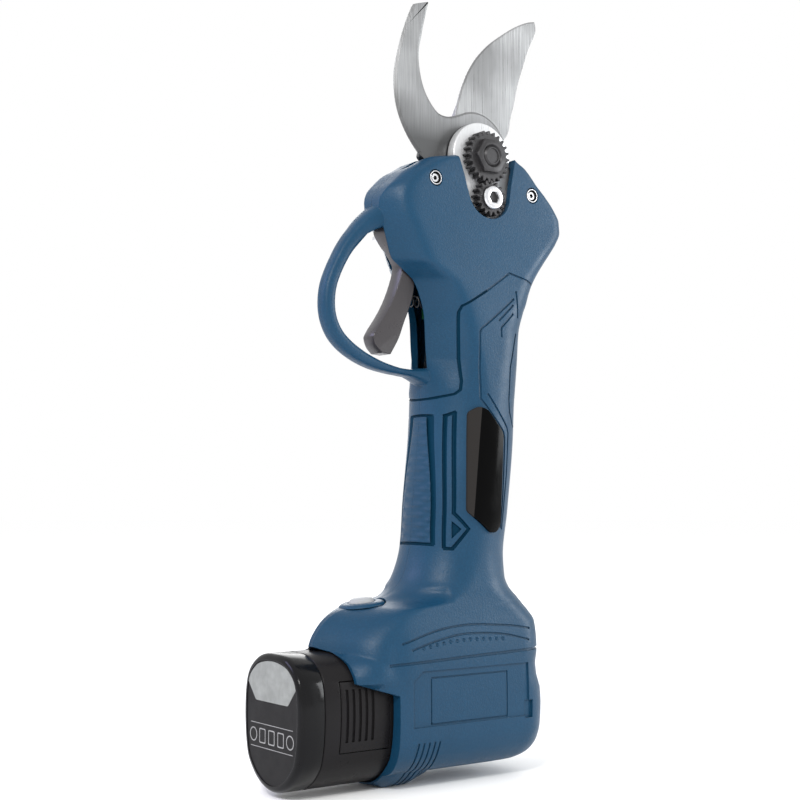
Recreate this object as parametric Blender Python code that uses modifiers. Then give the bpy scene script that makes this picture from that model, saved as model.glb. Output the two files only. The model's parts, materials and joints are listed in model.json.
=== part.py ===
"""Battery electric pruner: a blue two-shell handle with a trigger guard, a geared pair of blades
on an aluminium head frame, a motor with one planetary stage, and a slide-in battery pack.

Sizes below are millimetres in the design frame: +Z up, +Y away from the toothed pivot nut, and
-X towards the trigger and the battery. z = 0 is the battery's underside, and every solid is
parented to one empty that lifts the design by the collar that hangs lower than the battery.
"""
import math

import bmesh
import bpy
from mathutils import Matrix, Vector

MM = 0.001
GAP = 0.3                # between faces that rest on each other
WALL = 2.4               # housing wall
COLLAR_DROP = 1.8        # the collar's underside below the battery's

# Leaning tool axis: it starts at (AXIS_FOOT, 0) and leans towards +X.
AXIS_FOOT = 7.25
LEAN = math.radians(5.86)

# Pivot of the blades and the drive axis that runs down from it.
PIVOT = (25.0, 236.4)
DRIVE_LEAN = math.radians(3.2)
DRIVE_Y = 1.5
BOLT_R = 3.95
CLOSE_DEG = 48.0

# Stack of flat pieces on the pivot, from the nut's side (-Y) to the back.
NUT_FRONT, NUT_BACK = -13.3, -9.1
FRAME_FRONT, FRAME_FACE = -8.8, -4.6
HOOK_FRONT, HOOK_BACK = -4.3, -0.6
BLADE_FRONT, BLADE_BACK = -0.3, 3.0
WHEEL_HUB, WHEEL_BACK = 3.3, 7.9
REAR_PLATE = (8.2, 10.5)

# Gears: a bevel pair turns the blade, and one planetary stage drives its pinion.
BEVEL_MODULE, WHEEL_TEETH, PINION_TEETH = 0.8, 36, 12
BEVEL_FACE = 4.8
PLANET_MODULE, SUN_TEETH, PLANET_TEETH, RING_TEETH = 0.55, 12, 15, 42
PRESSURE = math.radians(20)
NUT_MODULE, NUT_TEETH, LOCK_TEETH = 0.8, 24, 16
LOCK_AT = (26.0, 220.2)

# Distances down the drive axis from the pivot.
BEARING_TOP, BEARING_LOW, BEARING_T = 19.5, 53.0, 5.0
CARRIER = (60.5, 63.5)
PLANETS = (64.0, 70.5)
CASE = (59.0, 80.4)
CAN = (80.8, 122.0)
END_CAP = (122.3, 126.5)
ARMATURE = (86.0, 114.0)

TRIGGER_PIN = (-13.0, 203.0)
BUTTON_AT = (-26.0, 64.4)
BUTTON_TILT = math.radians(-7)

# Battery pack, along X.
PACK_FRONT, PACK_SEAM, PACK_REAR = -64.65, -54.6, 39.4
KEEL_END, KEEL_TOP = -10.8, 5.6   # behind KEEL_END the pack's underside is higher
CELL_R, CELL_L, CELL_Y = 9.0, 65.0, 9.08
CELL_X = -26.8
CELL_Z = (18.0, 36.15)
LATCH_X = (-48.0, -27.6)
LATCH_Z = (14.6, 38.9)


# ---------------------------------------------------------------- scene and materials

def clear_scene():
    for thing in list(bpy.data.objects):
        bpy.data.objects.remove(thing, do_unlink=True)


clear_scene()
PARTS = bpy.data.collections.new("battery_electric_pruner")
CUTTERS = bpy.data.collections.new("cutters")
bpy.context.scene.collection.children.link(PARTS)
bpy.context.scene.collection.children.link(CUTTERS)
STAND = bpy.data.objects.new("stand", None)
STAND.location = (0, 0, COLLAR_DROP * MM)
PARTS.objects.link(STAND)

FINISHES = {
    "blue_plastic": ((0.035, 0.105, 0.215), 0.45, 0.0),
    "black_gloss": ((0.012, 0.012, 0.014), 0.12, 0.0),
    "black_plastic": ((0.02, 0.02, 0.022), 0.35, 0.0),
    "trigger_grey": ((0.05, 0.048, 0.052), 0.4, 0.0),
    "blade_steel": ((0.5, 0.5, 0.5), 0.3, 1.0),
    "aluminium": ((0.8, 0.8, 0.8), 0.25, 1.0),
    "black_oxide": ((0.03, 0.03, 0.03), 0.4, 0.8),
    "gear_steel": ((0.35, 0.35, 0.36), 0.35, 1.0),
    "screw_steel": ((0.7, 0.7, 0.7), 0.25, 1.0),
    "copper": ((0.6, 0.25, 0.12), 0.4, 1.0),
    "magnet": ((0.12, 0.12, 0.12), 0.5, 0.3),
    "board_green": ((0.02, 0.12, 0.05), 0.5, 0.0),
    "cell_wrap": ((0.05, 0.3, 0.35), 0.3, 0.0),
    "red_wire": ((0.5, 0.02, 0.02), 0.4, 0.0),
    "black_wire": ((0.02, 0.02, 0.02), 0.4, 0.0),
    "button_grey": ((0.35, 0.4, 0.45), 0.35, 0.0),
}


def material(name):
    found = bpy.data.materials.get(name)
    if found:
        return found
    colour, roughness, metallic = FINISHES[name]
    made = bpy.data.materials.new(name)
    made.use_nodes = True
    shader = made.node_tree.nodes["Principled BSDF"]
    shader.inputs["Base Color"].default_value = (*colour, 1)
    shader.inputs["Roughness"].default_value = roughness
    shader.inputs["Metallic"].default_value = metallic
    return made


def add(name, mesh, finish=None, matrix=None):
    """Links a mesh as a part, or as a cutter when it has no finish."""
    thing = bpy.data.objects.new(name, mesh)
    if finish:
        PARTS.objects.link(thing)
        mesh.materials.append(material(finish))
    else:
        CUTTERS.objects.link(thing)
        thing.hide_render = True
        thing.display_type = "WIRE"
    thing.parent = STAND
    if matrix:
        thing.matrix_local = matrix
    if finish:
        mesh.shade_smooth()
        mesh.set_sharp_from_angle(angle=math.radians(32))
    return thing


def evaluated_mesh(thing):
    """The object's mesh with its modifiers applied."""
    bpy.context.view_layer.update()
    graph = bpy.context.evaluated_depsgraph_get()
    return bpy.data.meshes.new_from_object(thing.evaluated_get(graph))


def boolean(thing, other, operation="DIFFERENCE", self_crossing=False):
    made = thing.modifiers.new(other.name, "BOOLEAN")
    made.object = other
    made.operation = operation
    made.solver = "EXACT"
    made.use_self = self_crossing


def apply_all(thing):
    """Turns the modifiers into mesh, so that a later cut starts from a plain solid."""
    mesh = evaluated_mesh(thing)
    bm = bmesh.new()
    bm.from_mesh(mesh)
    bmesh.ops.remove_doubles(bm, verts=bm.verts, dist=0.00001)
    bmesh.ops.dissolve_degenerate(bm, edges=bm.edges, dist=0.00001)
    bm.to_mesh(mesh)
    bm.free()
    thing.modifiers.clear()
    thing.data = mesh


# ---------------------------------------------------------------- coordinates

def at_y(x, z, y=0.0):
    return Matrix.Translation(Vector((x, y, z)) * MM)


def tool_point(u, v, w):
    """A point given across (u), along Y (v) and up the leaning tool axis (w)."""
    c, s = math.cos(LEAN), math.sin(LEAN)
    return Vector((AXIS_FOOT + u * c + w * s, v, w * c - u * s))


def drive_matrix(distance):
    """Frame on the drive axis, `distance` below the pivot; its Z points up the axis."""
    c, s = math.cos(DRIVE_LEAN), math.sin(DRIVE_LEAN)
    centre = Vector((PIVOT[0] - distance * s, DRIVE_Y, PIVOT[1] - distance * c)) * MM
    return Matrix.Translation(centre) @ Matrix.Rotation(DRIVE_LEAN, 4, "Y")


# ---------------------------------------------------------------- shape makers

def loft(name, rings, finish=None, closed=False, matrix=None):
    """Skins rings of equal length; the two ends are capped unless the loft closes on itself."""
    bm = bmesh.new()
    grid = [[bm.verts.new(Vector(point) * MM) for point in ring] for ring in rings]
    count = len(grid[0])
    spans = len(grid) if closed else len(grid) - 1
    for i in range(spans):
        low, high = grid[i], grid[(i + 1) % len(grid)]
        for j in range(count):
            k = (j + 1) % count
            bm.faces.new((low[j], low[k], high[k], high[j]))
    if not closed:
        bm.faces.new(grid[0][::-1])
        bm.faces.new(grid[-1])
    bmesh.ops.recalc_face_normals(bm, faces=bm.faces)
    mesh = bpy.data.meshes.new(name)
    bm.to_mesh(mesh)
    bm.free()
    return add(name, mesh, finish, matrix)


def flat_mesh(name, outlines, thickness):
    """Mesh of a 2D curve, filled and extruded; outlines after the first are holes."""
    curve = bpy.data.curves.new(name, "CURVE")
    curve.dimensions = "2D"
    curve.fill_mode = "BOTH"
    curve.extrude = thickness / 2 * MM
    for outline in outlines:
        spline = curve.splines.new("POLY")
        spline.points.add(len(outline) - 1)
        for point, (x, y) in zip(spline.points, outline):
            point.co = (x * MM, y * MM, 0, 1)
        spline.use_cyclic_u = True
    guide = bpy.data.objects.new(name, curve)
    CUTTERS.objects.link(guide)
    mesh = evaluated_mesh(guide)
    bpy.data.objects.remove(guide)
    bm = bmesh.new()
    bm.from_mesh(mesh)
    bmesh.ops.remove_doubles(bm, verts=bm.verts, dist=0.000005)
    bmesh.ops.recalc_face_normals(bm, faces=bm.faces)
    bm.to_mesh(mesh)
    bm.free()
    mesh.materials.clear()
    return mesh


def plate(name, outlines, low, high, finish=None, about=(0.0, 0.0)):
    """A flat piece in XZ from y = low to y = high; its origin lies on `about`."""
    local = [[(x - about[0], z - about[1]) for x, z in outline] for outline in outlines]
    mesh = flat_mesh(name, local, high - low)
    matrix = at_y(about[0], about[1], (low + high) / 2) @ Matrix.Rotation(math.pi / 2, 4, "X")
    return add(name, mesh, finish, matrix)


def prism(name, outlines, low, high, matrix, finish=None):
    """An outline in a frame's XY, from z = low to z = high of that frame."""
    mesh = flat_mesh(name, outlines, high - low)
    middle = Matrix.Translation((0, 0, (low + high) / 2 * MM))
    return add(name, mesh, finish, matrix @ middle)


def turned(name, profile, matrix, finish=None, steps=32, ring=False):
    """A turned piece: `profile` holds (radius, height) down its outer side."""
    mesh = bpy.data.meshes.new(name)
    count = len(profile)
    edges = [(i, i + 1) for i in range(count - 1)]
    if ring:
        edges.append((count - 1, 0))
    mesh.from_pydata([(r * MM, 0, h * MM) for r, h in profile], edges, [])
    guide = bpy.data.objects.new(name, mesh)
    CUTTERS.objects.link(guide)
    screw = guide.modifiers.new("turn", "SCREW")
    screw.steps = steps
    screw.render_steps = steps
    screw.use_merge_vertices = True
    screw.merge_threshold = 0.000001
    solid = evaluated_mesh(guide)
    bpy.data.objects.remove(guide)
    bm = bmesh.new()
    bm.from_mesh(solid)
    bmesh.ops.recalc_face_normals(bm, faces=bm.faces)
    bm.to_mesh(solid)
    bm.free()
    return add(name, solid, finish, matrix)


def box(name, low, high, finish=None, bevel=0.0):
    bm = bmesh.new()
    bmesh.ops.create_cube(bm, size=1)
    size = [(b - a) * MM for a, b in zip(low, high)]
    bmesh.ops.scale(bm, vec=size, verts=bm.verts)
    mesh = bpy.data.meshes.new(name)
    bm.to_mesh(mesh)
    bm.free()
    middle = Vector([(a + b) / 2 for a, b in zip(low, high)]) * MM
    made = add(name, mesh, finish, Matrix.Translation(middle))
    if bevel:
        edge = made.modifiers.new("edge", "BEVEL")
        edge.width = bevel * MM
        edge.segments = 1
    return made


def rod(name, radius, start, end, finish=None, steps=24):
    """A cylinder between two points."""
    start, end = Vector(start), Vector(end)
    bm = bmesh.new()
    bmesh.ops.create_cone(bm, cap_ends=True, segments=steps, radius1=radius * MM,
                          radius2=radius * MM, depth=(end - start).length * MM)
    mesh = bpy.data.meshes.new(name)
    bm.to_mesh(mesh)
    bm.free()
    turn = (end - start).to_track_quat("Z", "Y").to_matrix().to_4x4()
    return add(name, mesh, finish, Matrix.Translation((start + end) / 2 * MM) @ turn)


def wire(name, points, radius, finish, bezier=True):
    """A round wire through points; a coil passes its computed points as straight runs."""
    curve = bpy.data.curves.new(name, "CURVE")
    curve.dimensions = "3D"
    curve.bevel_depth = radius * MM
    curve.bevel_resolution = 1
    curve.use_fill_caps = True
    if bezier:
        spline = curve.splines.new("NURBS")
        spline.order_u = 3
        spline.use_endpoint_u = True
        curve.resolution_u = 4
    else:
        spline = curve.splines.new("POLY")
    spline.points.add(len(points) - 1)
    for place, point in zip(spline.points, points):
        place.co = (*(Vector(point) * MM), 1)
    guide = bpy.data.objects.new(name, curve)
    CUTTERS.objects.link(guide)
    mesh = evaluated_mesh(guide)
    bpy.data.objects.remove(guide)
    bm = bmesh.new()
    bm.from_mesh(mesh)
    bmesh.ops.remove_doubles(bm, verts=bm.verts, dist=0.000005)
    bmesh.ops.recalc_face_normals(bm, faces=bm.faces)
    bm.to_mesh(mesh)
    bm.free()
    mesh.materials.clear()
    return add(name, mesh, finish)


def coil(name, start, end, radius, thickness, turns, finish, steps=8):
    """A compression spring between two points."""
    start, end = Vector(start), Vector(end)
    turn = (end - start).to_track_quat("Z", "Y").to_matrix()
    length = (end - start).length
    points = []
    for i in range(turns * steps + 1):
        angle = 2 * math.pi * i / steps
        local = Vector((radius * math.cos(angle), radius * math.sin(angle),
                        length * i / (turns * steps)))
        points.append(start + turn @ local)
    return wire(name, points, thickness / 2, finish, bezier=False)


# ---------------------------------------------------------------- outlines

def arc(centre, radius, first, last, steps):
    """Points of an arc, angles in degrees anticlockwise from +X."""
    points = []
    for i in range(steps + 1):
        angle = math.radians(first + (last - first) * i / steps)
        points.append((centre[0] + radius * math.cos(angle), centre[1] + radius * math.sin(angle)))
    return points


def circle(centre, radius, steps=32):
    return arc(centre, radius, 0, 360 - 360 / steps, steps - 1)


def rounded(x0, x1, half, front, back, steps=4):
    """Rounded rectangle in (x, y): radius `front` at the x0 end and `back` at the x1 end."""
    front = min(front, half - 0.05)
    back = min(back, half - 0.05, x1 - x0 - front - 0.1)
    points = arc((x1 - back, half - back), back, 0, 90, steps)
    points += arc((x0 + front, half - front), front, 90, 180, steps)
    points += arc((x0 + front, front - half), front, 180, 270, steps)
    return points + arc((x1 - back, back - half), back, 270, 360, steps)


def involute(angle):
    return math.tan(angle) - angle


def gear_outline(teeth, module, low, high, slack, phase=0.0):
    """Involute gear outline with a tooth centred on `phase`.

    low and high are the root and tip offsets in modules, and slack is added to the tooth's
    thickness at the pitch circle, so it is negative for a gear and positive for the spaces
    of an internal gear.
    """
    pitch = teeth * module / 2
    base = pitch * math.cos(PRESSURE)
    root, tip = pitch + low * module, pitch + high * module
    half = math.pi / (2 * teeth) + slack / (2 * pitch) + involute(PRESSURE)
    start = max(base, root)
    flank = [(start + (tip - start) * i / 2) for i in range(3)]
    side = [(r, half - involute(math.acos(min(1.0, base / r)))) for r in flank]
    if root < start:
        side.insert(0, (root, side[0][1] + 0.1 / teeth))
    points = []
    for i in range(teeth):
        middle = phase + 2 * math.pi * i / teeth
        tooth = [(r, middle - a) for r, a in side] + [(r, middle + a) for r, a in reversed(side)]
        points += [(r * math.cos(a), r * math.sin(a)) for r, a in tooth]
    return points


def notched_outline(teeth, module, phase=0.0):
    """A coarse locking gear: straight-sided teeth."""
    pitch = teeth * module / 2
    points = []
    for i in range(teeth):
        middle = phase + 2 * math.pi * i / teeth
        step = 2 * math.pi / teeth
        for radius, share in ((pitch - 0.8, -0.33), (pitch + 0.7, -0.14), (pitch + 0.7, 0.14),
                              (pitch - 0.8, 0.33)):
            angle = middle + share * step
            points.append((radius * math.cos(angle), radius * math.sin(angle)))
    return points


def moved(points, centre):
    return [(x + centre[0], y + centre[1]) for x, y in points]


# Battery section, widest between the cells: half outline (|y|, z), from top to bottom.
PACK_HALF = ((0, 48.3), (5.5, 48.1), (9.8, 47.0), (14.4, 44.2), (17.6, 40.4), (19.2, 35.0),
             (19.7, 28.0), (19.5, 22.0), (18.8, 16.2), (17.2, 10.6), (14.0, 6.4), (10.2, 3.2),
             (5.2, 0.8), (0, 0))


def pack_section(x, offset=0.0):
    """Ring of the battery's section at x, moved outwards by offset."""
    left = [Vector((-y, z)) for y, z in PACK_HALF]
    right = [Vector((y, z)) for y, z in PACK_HALF[-2:0:-1]]
    ring = left + right
    count = len(ring)
    points = []
    for i, here in enumerate(ring):
        along = (ring[(i + 1) % count] - ring[i - 1]).normalized()
        # The ring runs anticlockwise seen from -X, so its outside is on this side.
        outward = Vector((along.y, -along.x))
        if outward.dot(here - Vector((0, 25))) < 0:
            outward.negate()
        place = here + outward * offset
        points.append((x, place.x, place.y))
    return points


def pack_prism(name, x0, x1, offset, finish=None):
    return loft(name, [pack_section(x0, offset), pack_section(x1, offset)], finish)


# ---------------------------------------------------------------- housing

# Head and handle sections up the tool axis: w, left edge, right edge, half thickness, radius.
UPPER = ((70, -19.4, 19.4, 19.4, 19.4), (84, -20.0, 20.0, 20.0, 19.9), (100, -20.3, 20.5, 20.4, 20.3),
         (130, -20.4, 20.6, 20.5, 20.4), (140, -20.8, 20.4, 20.4, 20.0), (148, -21.9, 20.1, 20.2, 18.5),
         (158, -24.0, 19.6, 19.6, 16.5), (170.5, -26.0, 18.9, 18.6, 14.5), (178, -28.9, 19.8, 17.9, 13.0),
         (183.5, -32.6, 20.7, 17.2, 11.5), (187, -38.4, 21.3, 16.8, 10.5), (190, -43.4, 22.3, 16.4, 10.0),
         (195, -45.8, 24.6, 15.7, 9.0), (201, -48.3, 28.2, 14.9, 8.0), (206.5, -50.7, 31.7, 14.2, 7.0),
         (211, -51.0, 34.3, 13.7, 6.4), (215.5, -49.2, 35.8, 13.3, 6.0), (219.5, -46.2, 35.2, 13.1, 6.0),
         (224, -42.2, 31.9, 13.0, 6.0), (228, -36.8, 27.3, 13.0, 6.0), (231.5, -31.8, 22.4, 13.0, 6.0),
         (234, -23.5, 18.8, 13.0, 5.0), (236.5, -17.0, 14.8, 13.0, 4.0), (239, -11.0, 8.6, 13.0, 3.0))

# Base sections: z, front edge, back edge, half width, front radius, back radius.
BASE = ((3.4, -46, 30.0, 13.0, 8, 8), (4.6, -50, 36.5, 17.0, 8, 10), (7.5, -50, 41.5, 20.6, 8, 11),
        (11.5, -50, 44.6, 23.0, 8, 12), (17, -50, 45.8, 24.4, 8, 12), (25, -50, 46.0, 24.8, 9, 12),
        (31, -50, 45.6, 24.8, 10, 12), (36, -50, 44.0, 24.7, 11, 12), (40, -49.9, 43.6, 24.6, 12, 12),
        (45, -49.6, 44.6, 24.3, 15, 12), (51, -48.3, 44.4, 23.6, 18, 12), (56, -45.4, 44.2, 22.8, 19, 13),
        (60, -41.0, 42.4, 22.0, 20, 15), (63, -34.0, 40.6, 21.5, 20.5, 17), (65, -26.0, 39.6, 21.2, 20.5, 18),
        (66.6, -17.0, 38.8, 21.0, 20.5, 19), (69, -11.5, 37.6, 20.8, 20.3, 19.5), (73, -8.0, 36.2, 20.4, 20, 20),
        (79, -5.6, 35.2, 20.0, 19.9, 19.9), (88, -2.9, 35.5, 19.3, 19.2, 19.2))

# Trigger guard: x, z of its centre line, thickness in its plane, half width along Y.
GUARD = ((-10, 212, 13, 6.5), (-18, 209.5, 11, 6.0), (-24.5, 205.8, 8.6, 5.2), (-30.3, 200.8, 6.4, 4.2),
         (-34.3, 196.0, 5.8, 3.8), (-37.2, 191.2, 5.5, 3.6), (-39.6, 186.4, 5.5, 3.5), (-41.4, 181.6, 5.5, 3.5),
         (-42.2, 176.8, 5.5, 3.5), (-42.1, 172, 5.5, 3.5), (-40.9, 167.4, 5.5, 3.5), (-38.3, 163, 5.5, 3.5),
         (-34.2, 159.3, 5.4, 3.5), (-28.6, 156.0, 5.0, 3.5), (-22.6, 153.6, 4.4, 3.5), (-16.4, 152.0, 3.6, 3.5),
         (-10.6, 151.0, 2.9, 3.6), (-5.6, 150.5, 3.0, 4.0), (-1.6, 150.0, 5.0, 5.2), (2.5, 149.4, 8.0, 6.4))

NOTCH = (arc((25.2, 222.2), 10.4, 195, 345, 10) + [(36.6, 228.0), (38.3, 236.0), (38.6, 252.0)]
         + [(9.0, 252.0), (9.6, 236.0), (12.6, 228.0)])

# The housing stops at this line around the battery: collar edge, side step and hood lip.
OPENING = ((-90, -12), (-26.0, -12), (-26.8, 30.8), (-43.6, 35.0), (-50.4, 49.8), (-90, 49.8))

SLOT = ((-30.5, 196.5), (-26.9, 201.4), (-20.5, 205.0), (-4.0, 206.0), (2.0, 190.0), (5.0, 172.0),
        (5.0, 152.5), (-8.0, 152.5), (-12.0, 172.0), (-22.0, 186.0))

HEAD_SCREWS = ((-1.2, 224.6), (47.3, 223.8))
SHELL_SCREWS = ((45.0, 203.0), (30.0, 99.0), (21.0, 60.0), (-17.5, 58.0))
SCREW_HOLE_R, SCREW_R, SCREW_HEAD_R, SCREW_BOSS_R = 1.7, 1.45, 2.8, 3.4


def upper_rings(inset=0.0, rows=UPPER):
    rings = []
    for w, left, right, half, radius in rows:
        flat = rounded(left + inset, right - inset, half - inset, *[max(radius - inset, 1.0)] * 2)
        rings.append([tool_point(u, v, w) for u, v in flat])
    return rings


def base_rings(inset=0.0, rows=BASE, front=None):
    rings = []
    for z, x0, x1, half, near, far in rows:
        near, far = max(near - inset, 1.0), max(far - inset, 1.0)
        start = x0 + inset
        if front is not None:
            start, near = front, 2.0
        flat = rounded(start, x1 - inset, half - inset, near, far)
        rings.append([(x, y, z) for x, y in flat])
    return rings


def guard_rings(sides=14):
    rings = []
    for i, (x, z, thick, half) in enumerate(GUARD):
        before, after = GUARD[max(i - 1, 0)], GUARD[min(i + 1, len(GUARD) - 1)]
        along = Vector((after[0] - before[0], after[1] - before[1])).normalized()
        across = Vector((along.y, -along.x))
        ring = []
        for j in range(sides):
            angle = 2 * math.pi * j / sides
            reach = thick / 2 * math.cos(angle)
            ring.append((x + across.x * reach, half * math.sin(angle), z + across.y * reach))
        rings.append(ring)
    return rings


def collar():
    """Skirt that hugs the battery and hangs a little below it."""
    rings = [pack_section(x, offset) for x, offset in ((-27, 3.2), (-12, 3.2), (-5, 1.0), (0, -6))]
    for ring in rings[:3]:
        for i, (x, y, z) in enumerate(ring):
            low = -COLLAR_DROP if x < -8 else 1.4
            ring[i] = (x, y, max(z, low))
    return loft("collar_form", rings)


def housing_blank():
    """The whole housing as one hollow body, before it is split into two shells."""
    blank = loft("housing_blank", base_rings())
    boolean(blank, loft("upper_form", upper_rings()), "UNION")
    boolean(blank, loft("guard_form", guard_rings()), "UNION")
    boolean(blank, collar(), "UNION")
    boss_top = Matrix.Translation(Vector((BUTTON_AT[0], 0, BUTTON_AT[1])) * MM)
    boss_top = boss_top @ Matrix.Rotation(BUTTON_TILT, 4, "Y")
    boolean(blank, turned("button_seat", ((0, 0.6), (8.9, 0.6), (9.6, -3), (0, -3)), boss_top), "UNION")
    boolean(blank, turned("bezel_seat", ((0, 8), (9.0, 8), (9.0, 0.4), (0, 0.4)), boss_top))
    apply_all(blank)
    head_rows = [row for row in UPPER if row[0] > 75]
    head_rows = [(row[0] - (WALL if row[0] > 232 else 0), *row[1:]) for row in head_rows]
    boolean(blank, loft("upper_cavity", upper_rings(WALL, head_rows)))
    top_rows = [(51.0, *BASE[10][1:])] + [row for row in BASE if row[0] > 52]
    boolean(blank, loft("base_cavity", base_rings(WALL, top_rows)))
    low_rows = [row for row in BASE if 7 < row[0] < 57]
    boolean(blank, loft("rear_cavity", base_rings(WALL, low_rows, front=36.0)))
    apply_all(blank)
    socket = pack_prism("socket", -90, PACK_REAR + 0.6, 0.5)
    boolean(socket, box("socket_floor", (KEEL_END + 0.5, -40, -9), (90, 40, KEEL_TOP - 0.4)))
    boolean(blank, socket)
    boolean(blank, plate("opening_cut", [OPENING], -40, 40))
    apply_all(blank)
    boolean(blank, plate("notch_cut", [NOTCH], -30, 30))
    boolean(blank, plate("trigger_slot", [SLOT], -4.7, 4.7))
    boolean(blank, box("contact_window", (29.2, -5, 47), (39.8, 5, 52)))
    boolean(blank, turned("button_hole", ((0, 3), (6.0, 3), (6.0, -9), (0, -9)), boss_top))
    boolean(blank, plate("frame_slot", [((3.6, 225.5), (39.7, 225.5), (39.7, 245), (3.6, 245))], -9.2, -4.2))
    boolean(blank, plate("blade_slot", [((-9, 221), (-9, 242), (14, 242), (14, 221))], -4.8, 0.05))
    apply_all(blank)
    return blank


def shell(name, blank, side):
    """One half: side -1 is the toothed nut's side."""
    half = box(name + "_half", (-120, 0.15, -20), (120, 60, 330))
    if side < 0:
        half = box(name + "_space", (-120, -60, -20), (120, -0.15, 330))
    made = add(name, blank.data.copy(), "blue_plastic")
    boolean(made, half, "INTERSECT")
    apply_all(made)
    for i, (x, z) in enumerate(HEAD_SCREWS + SHELL_SCREWS):
        reach = reach_at(x, z)
        ends = sorted((side * 0.6, side * (reach - 1.0)))
        column = rod(f"{name}_boss_{i}", SCREW_BOSS_R, (x, ends[0], z), (x, ends[1], z), steps=16)
        boolean(made, column, "UNION", True)
    apply_all(made)
    for i, (x, z) in enumerate(HEAD_SCREWS + SHELL_SCREWS):
        reach = reach_at(x, z)
        head_side = -1 if i < len(HEAD_SCREWS) else 1
        hole = rod(f"{name}_hole_{i}", SCREW_HOLE_R, (x, -side, z), (x, side * (reach - 4.4), z), steps=16)
        boolean(made, hole, self_crossing=True)
        if head_side == side:
            pocket = rod(f"{name}_pocket_{i}", SCREW_HEAD_R + 0.4, (x, side * (reach - 2.2), z),
                         (x, side * 40, z), steps=20)
            boolean(made, pocket, self_crossing=True)
            neck = rod(f"{name}_neck_{i}", SCREW_HOLE_R, (x, side * (reach - 6), z),
                       (x, side * (reach - 1.5), z), steps=16)
            boolean(made, neck, self_crossing=True)
    for i, (x, z, radius, depth) in enumerate(inner_pockets(side)):
        seat = rod(f"{name}_seat_{i}", radius, (x, 0, z), (x, side * depth, z), steps=20)
        boolean(made, seat, self_crossing=True)
    return made


def reach_at(x, z):
    """Half thickness of the housing where a screw head sinks in."""
    rows, u, w = BASE, x, z
    if z > 80:
        rows = [(row[0], row[1], row[2], row[3], row[4], row[4]) for row in UPPER]
        u = (x - AXIS_FOOT) * math.cos(LEAN) - z * math.sin(LEAN)
        w = (x - AXIS_FOOT) * math.sin(LEAN) + z * math.cos(LEAN)
    for low, high in zip(rows, rows[1:]):
        if low[0] <= w <= high[0]:
            share = (w - low[0]) / (high[0] - low[0])
            left, right, half, near, far = [a + share * (b - a) for a, b in zip(low[1:], high[1:])]
            break
    reach = half
    for edge in (u - SCREW_HEAD_R, u + SCREW_HEAD_R):
        for into, radius in ((left + near - edge, near), (edge - right + far, far)):
            if into > 0:
                reach = min(reach, half - radius + math.sqrt(radius * radius - into * into))
    return reach


def inner_pockets(side):
    """Seats in the shells' walls: the trigger pin's ends."""
    return ((TRIGGER_PIN[0], TRIGGER_PIN[1], 1.65, 10.6),)


def screw(name, x, z, side, length):
    """A socket-head shell screw whose head sits in its pocket."""
    top = side * (reach_at(x, z) - 0.1)
    turn = Matrix.Translation(Vector((x, top, z)) * MM) @ Matrix.Rotation(-side * math.pi / 2, 4, "X")
    profile = ((0, 0), (SCREW_HEAD_R - 0.4, 0), (SCREW_HEAD_R, -0.4), (SCREW_HEAD_R, -1.9),
               (SCREW_R, -1.9), (SCREW_R, -length), (0, -length))
    made = turned(name, profile, turn, "screw_steel", steps=20)
    hexagon = circle((0, 0), 1.5, 6)
    boolean(made, prism(name + "_socket", [hexagon], -1.4, 1, turn))


def housing():
    blank = housing_blank()
    shell("left_shell", blank, -1)
    shell("right_shell", blank, 1)
    bpy.data.objects.remove(blank)
    for i, (x, z) in enumerate(HEAD_SCREWS):
        screw(f"head_screw_{i + 1}", x, z, -1, 2 * reach_at(x, z) - 5.2)
    for i, (x, z) in enumerate(SHELL_SCREWS):
        screw(f"shell_screw_{i + 1}", x, z, 1, 2 * reach_at(x, z) - 5.2)


# Badge outline in the tool frame, (u, w), on each side of the handle.
BADGE = ((-11.2, 135.0), (-7.6, 137.6), (-4.0, 136.8), (4.6, 128.8), (7.1, 94.0), (5.2, 91.2), (1.8, 90.6),
         (-8.8, 97.6))


def badge(name, side):
    """A glossy plate that follows the handle's round side."""
    skin = loft(name + "_skin", upper_rings(-1.1, [row for row in UPPER if 80 < row[0] < 150]))
    core = loft(name + "_core", upper_rings(-0.35, [row for row in UPPER if 80 < row[0] < 150]))
    outline = []
    for u, w in BADGE:
        point = tool_point(u, 0, w)
        outline.append((point.x, point.z))
    low, high = sorted((side * 14.0, side * 24.0))
    made = plate(name, [outline], low, high, "black_gloss")
    boolean(made, skin, "INTERSECT")
    boolean(made, core)


# ---------------------------------------------------------------- blades and pivot

# Fixed hook: outer edge from its tip down, then the hidden tail, the ring and the inner edge.
HOOK = ([(2.2, 296.3), (-5.2, 293.9), (-7.4, 289.6), (-10.3, 282.0), (-12.6, 274.0), (-14.1, 266.5),
         (-14.2, 260.0), (-13.3, 253.5), (-11.2, 247.6), (-7.4, 241.2), (-2.6, 235.6), (2.0, 231.6),
         (6.5, 228.2), (13.0, 228.0)] + arc(PIVOT, 9.2, 215, 350, 9) + [(37.5, 240.0)]
        + arc((25.6, 240.3), 15.9, 22, 118, 8) + [(14.6, 253.0), (10.8, 252.2), (6.8, 253.0), (2.8, 256.8),
        (-0.2, 261.8), (-2.0, 268.0), (-2.6, 275.0), (-1.3, 282.2), (0.4, 289.6)])

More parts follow.
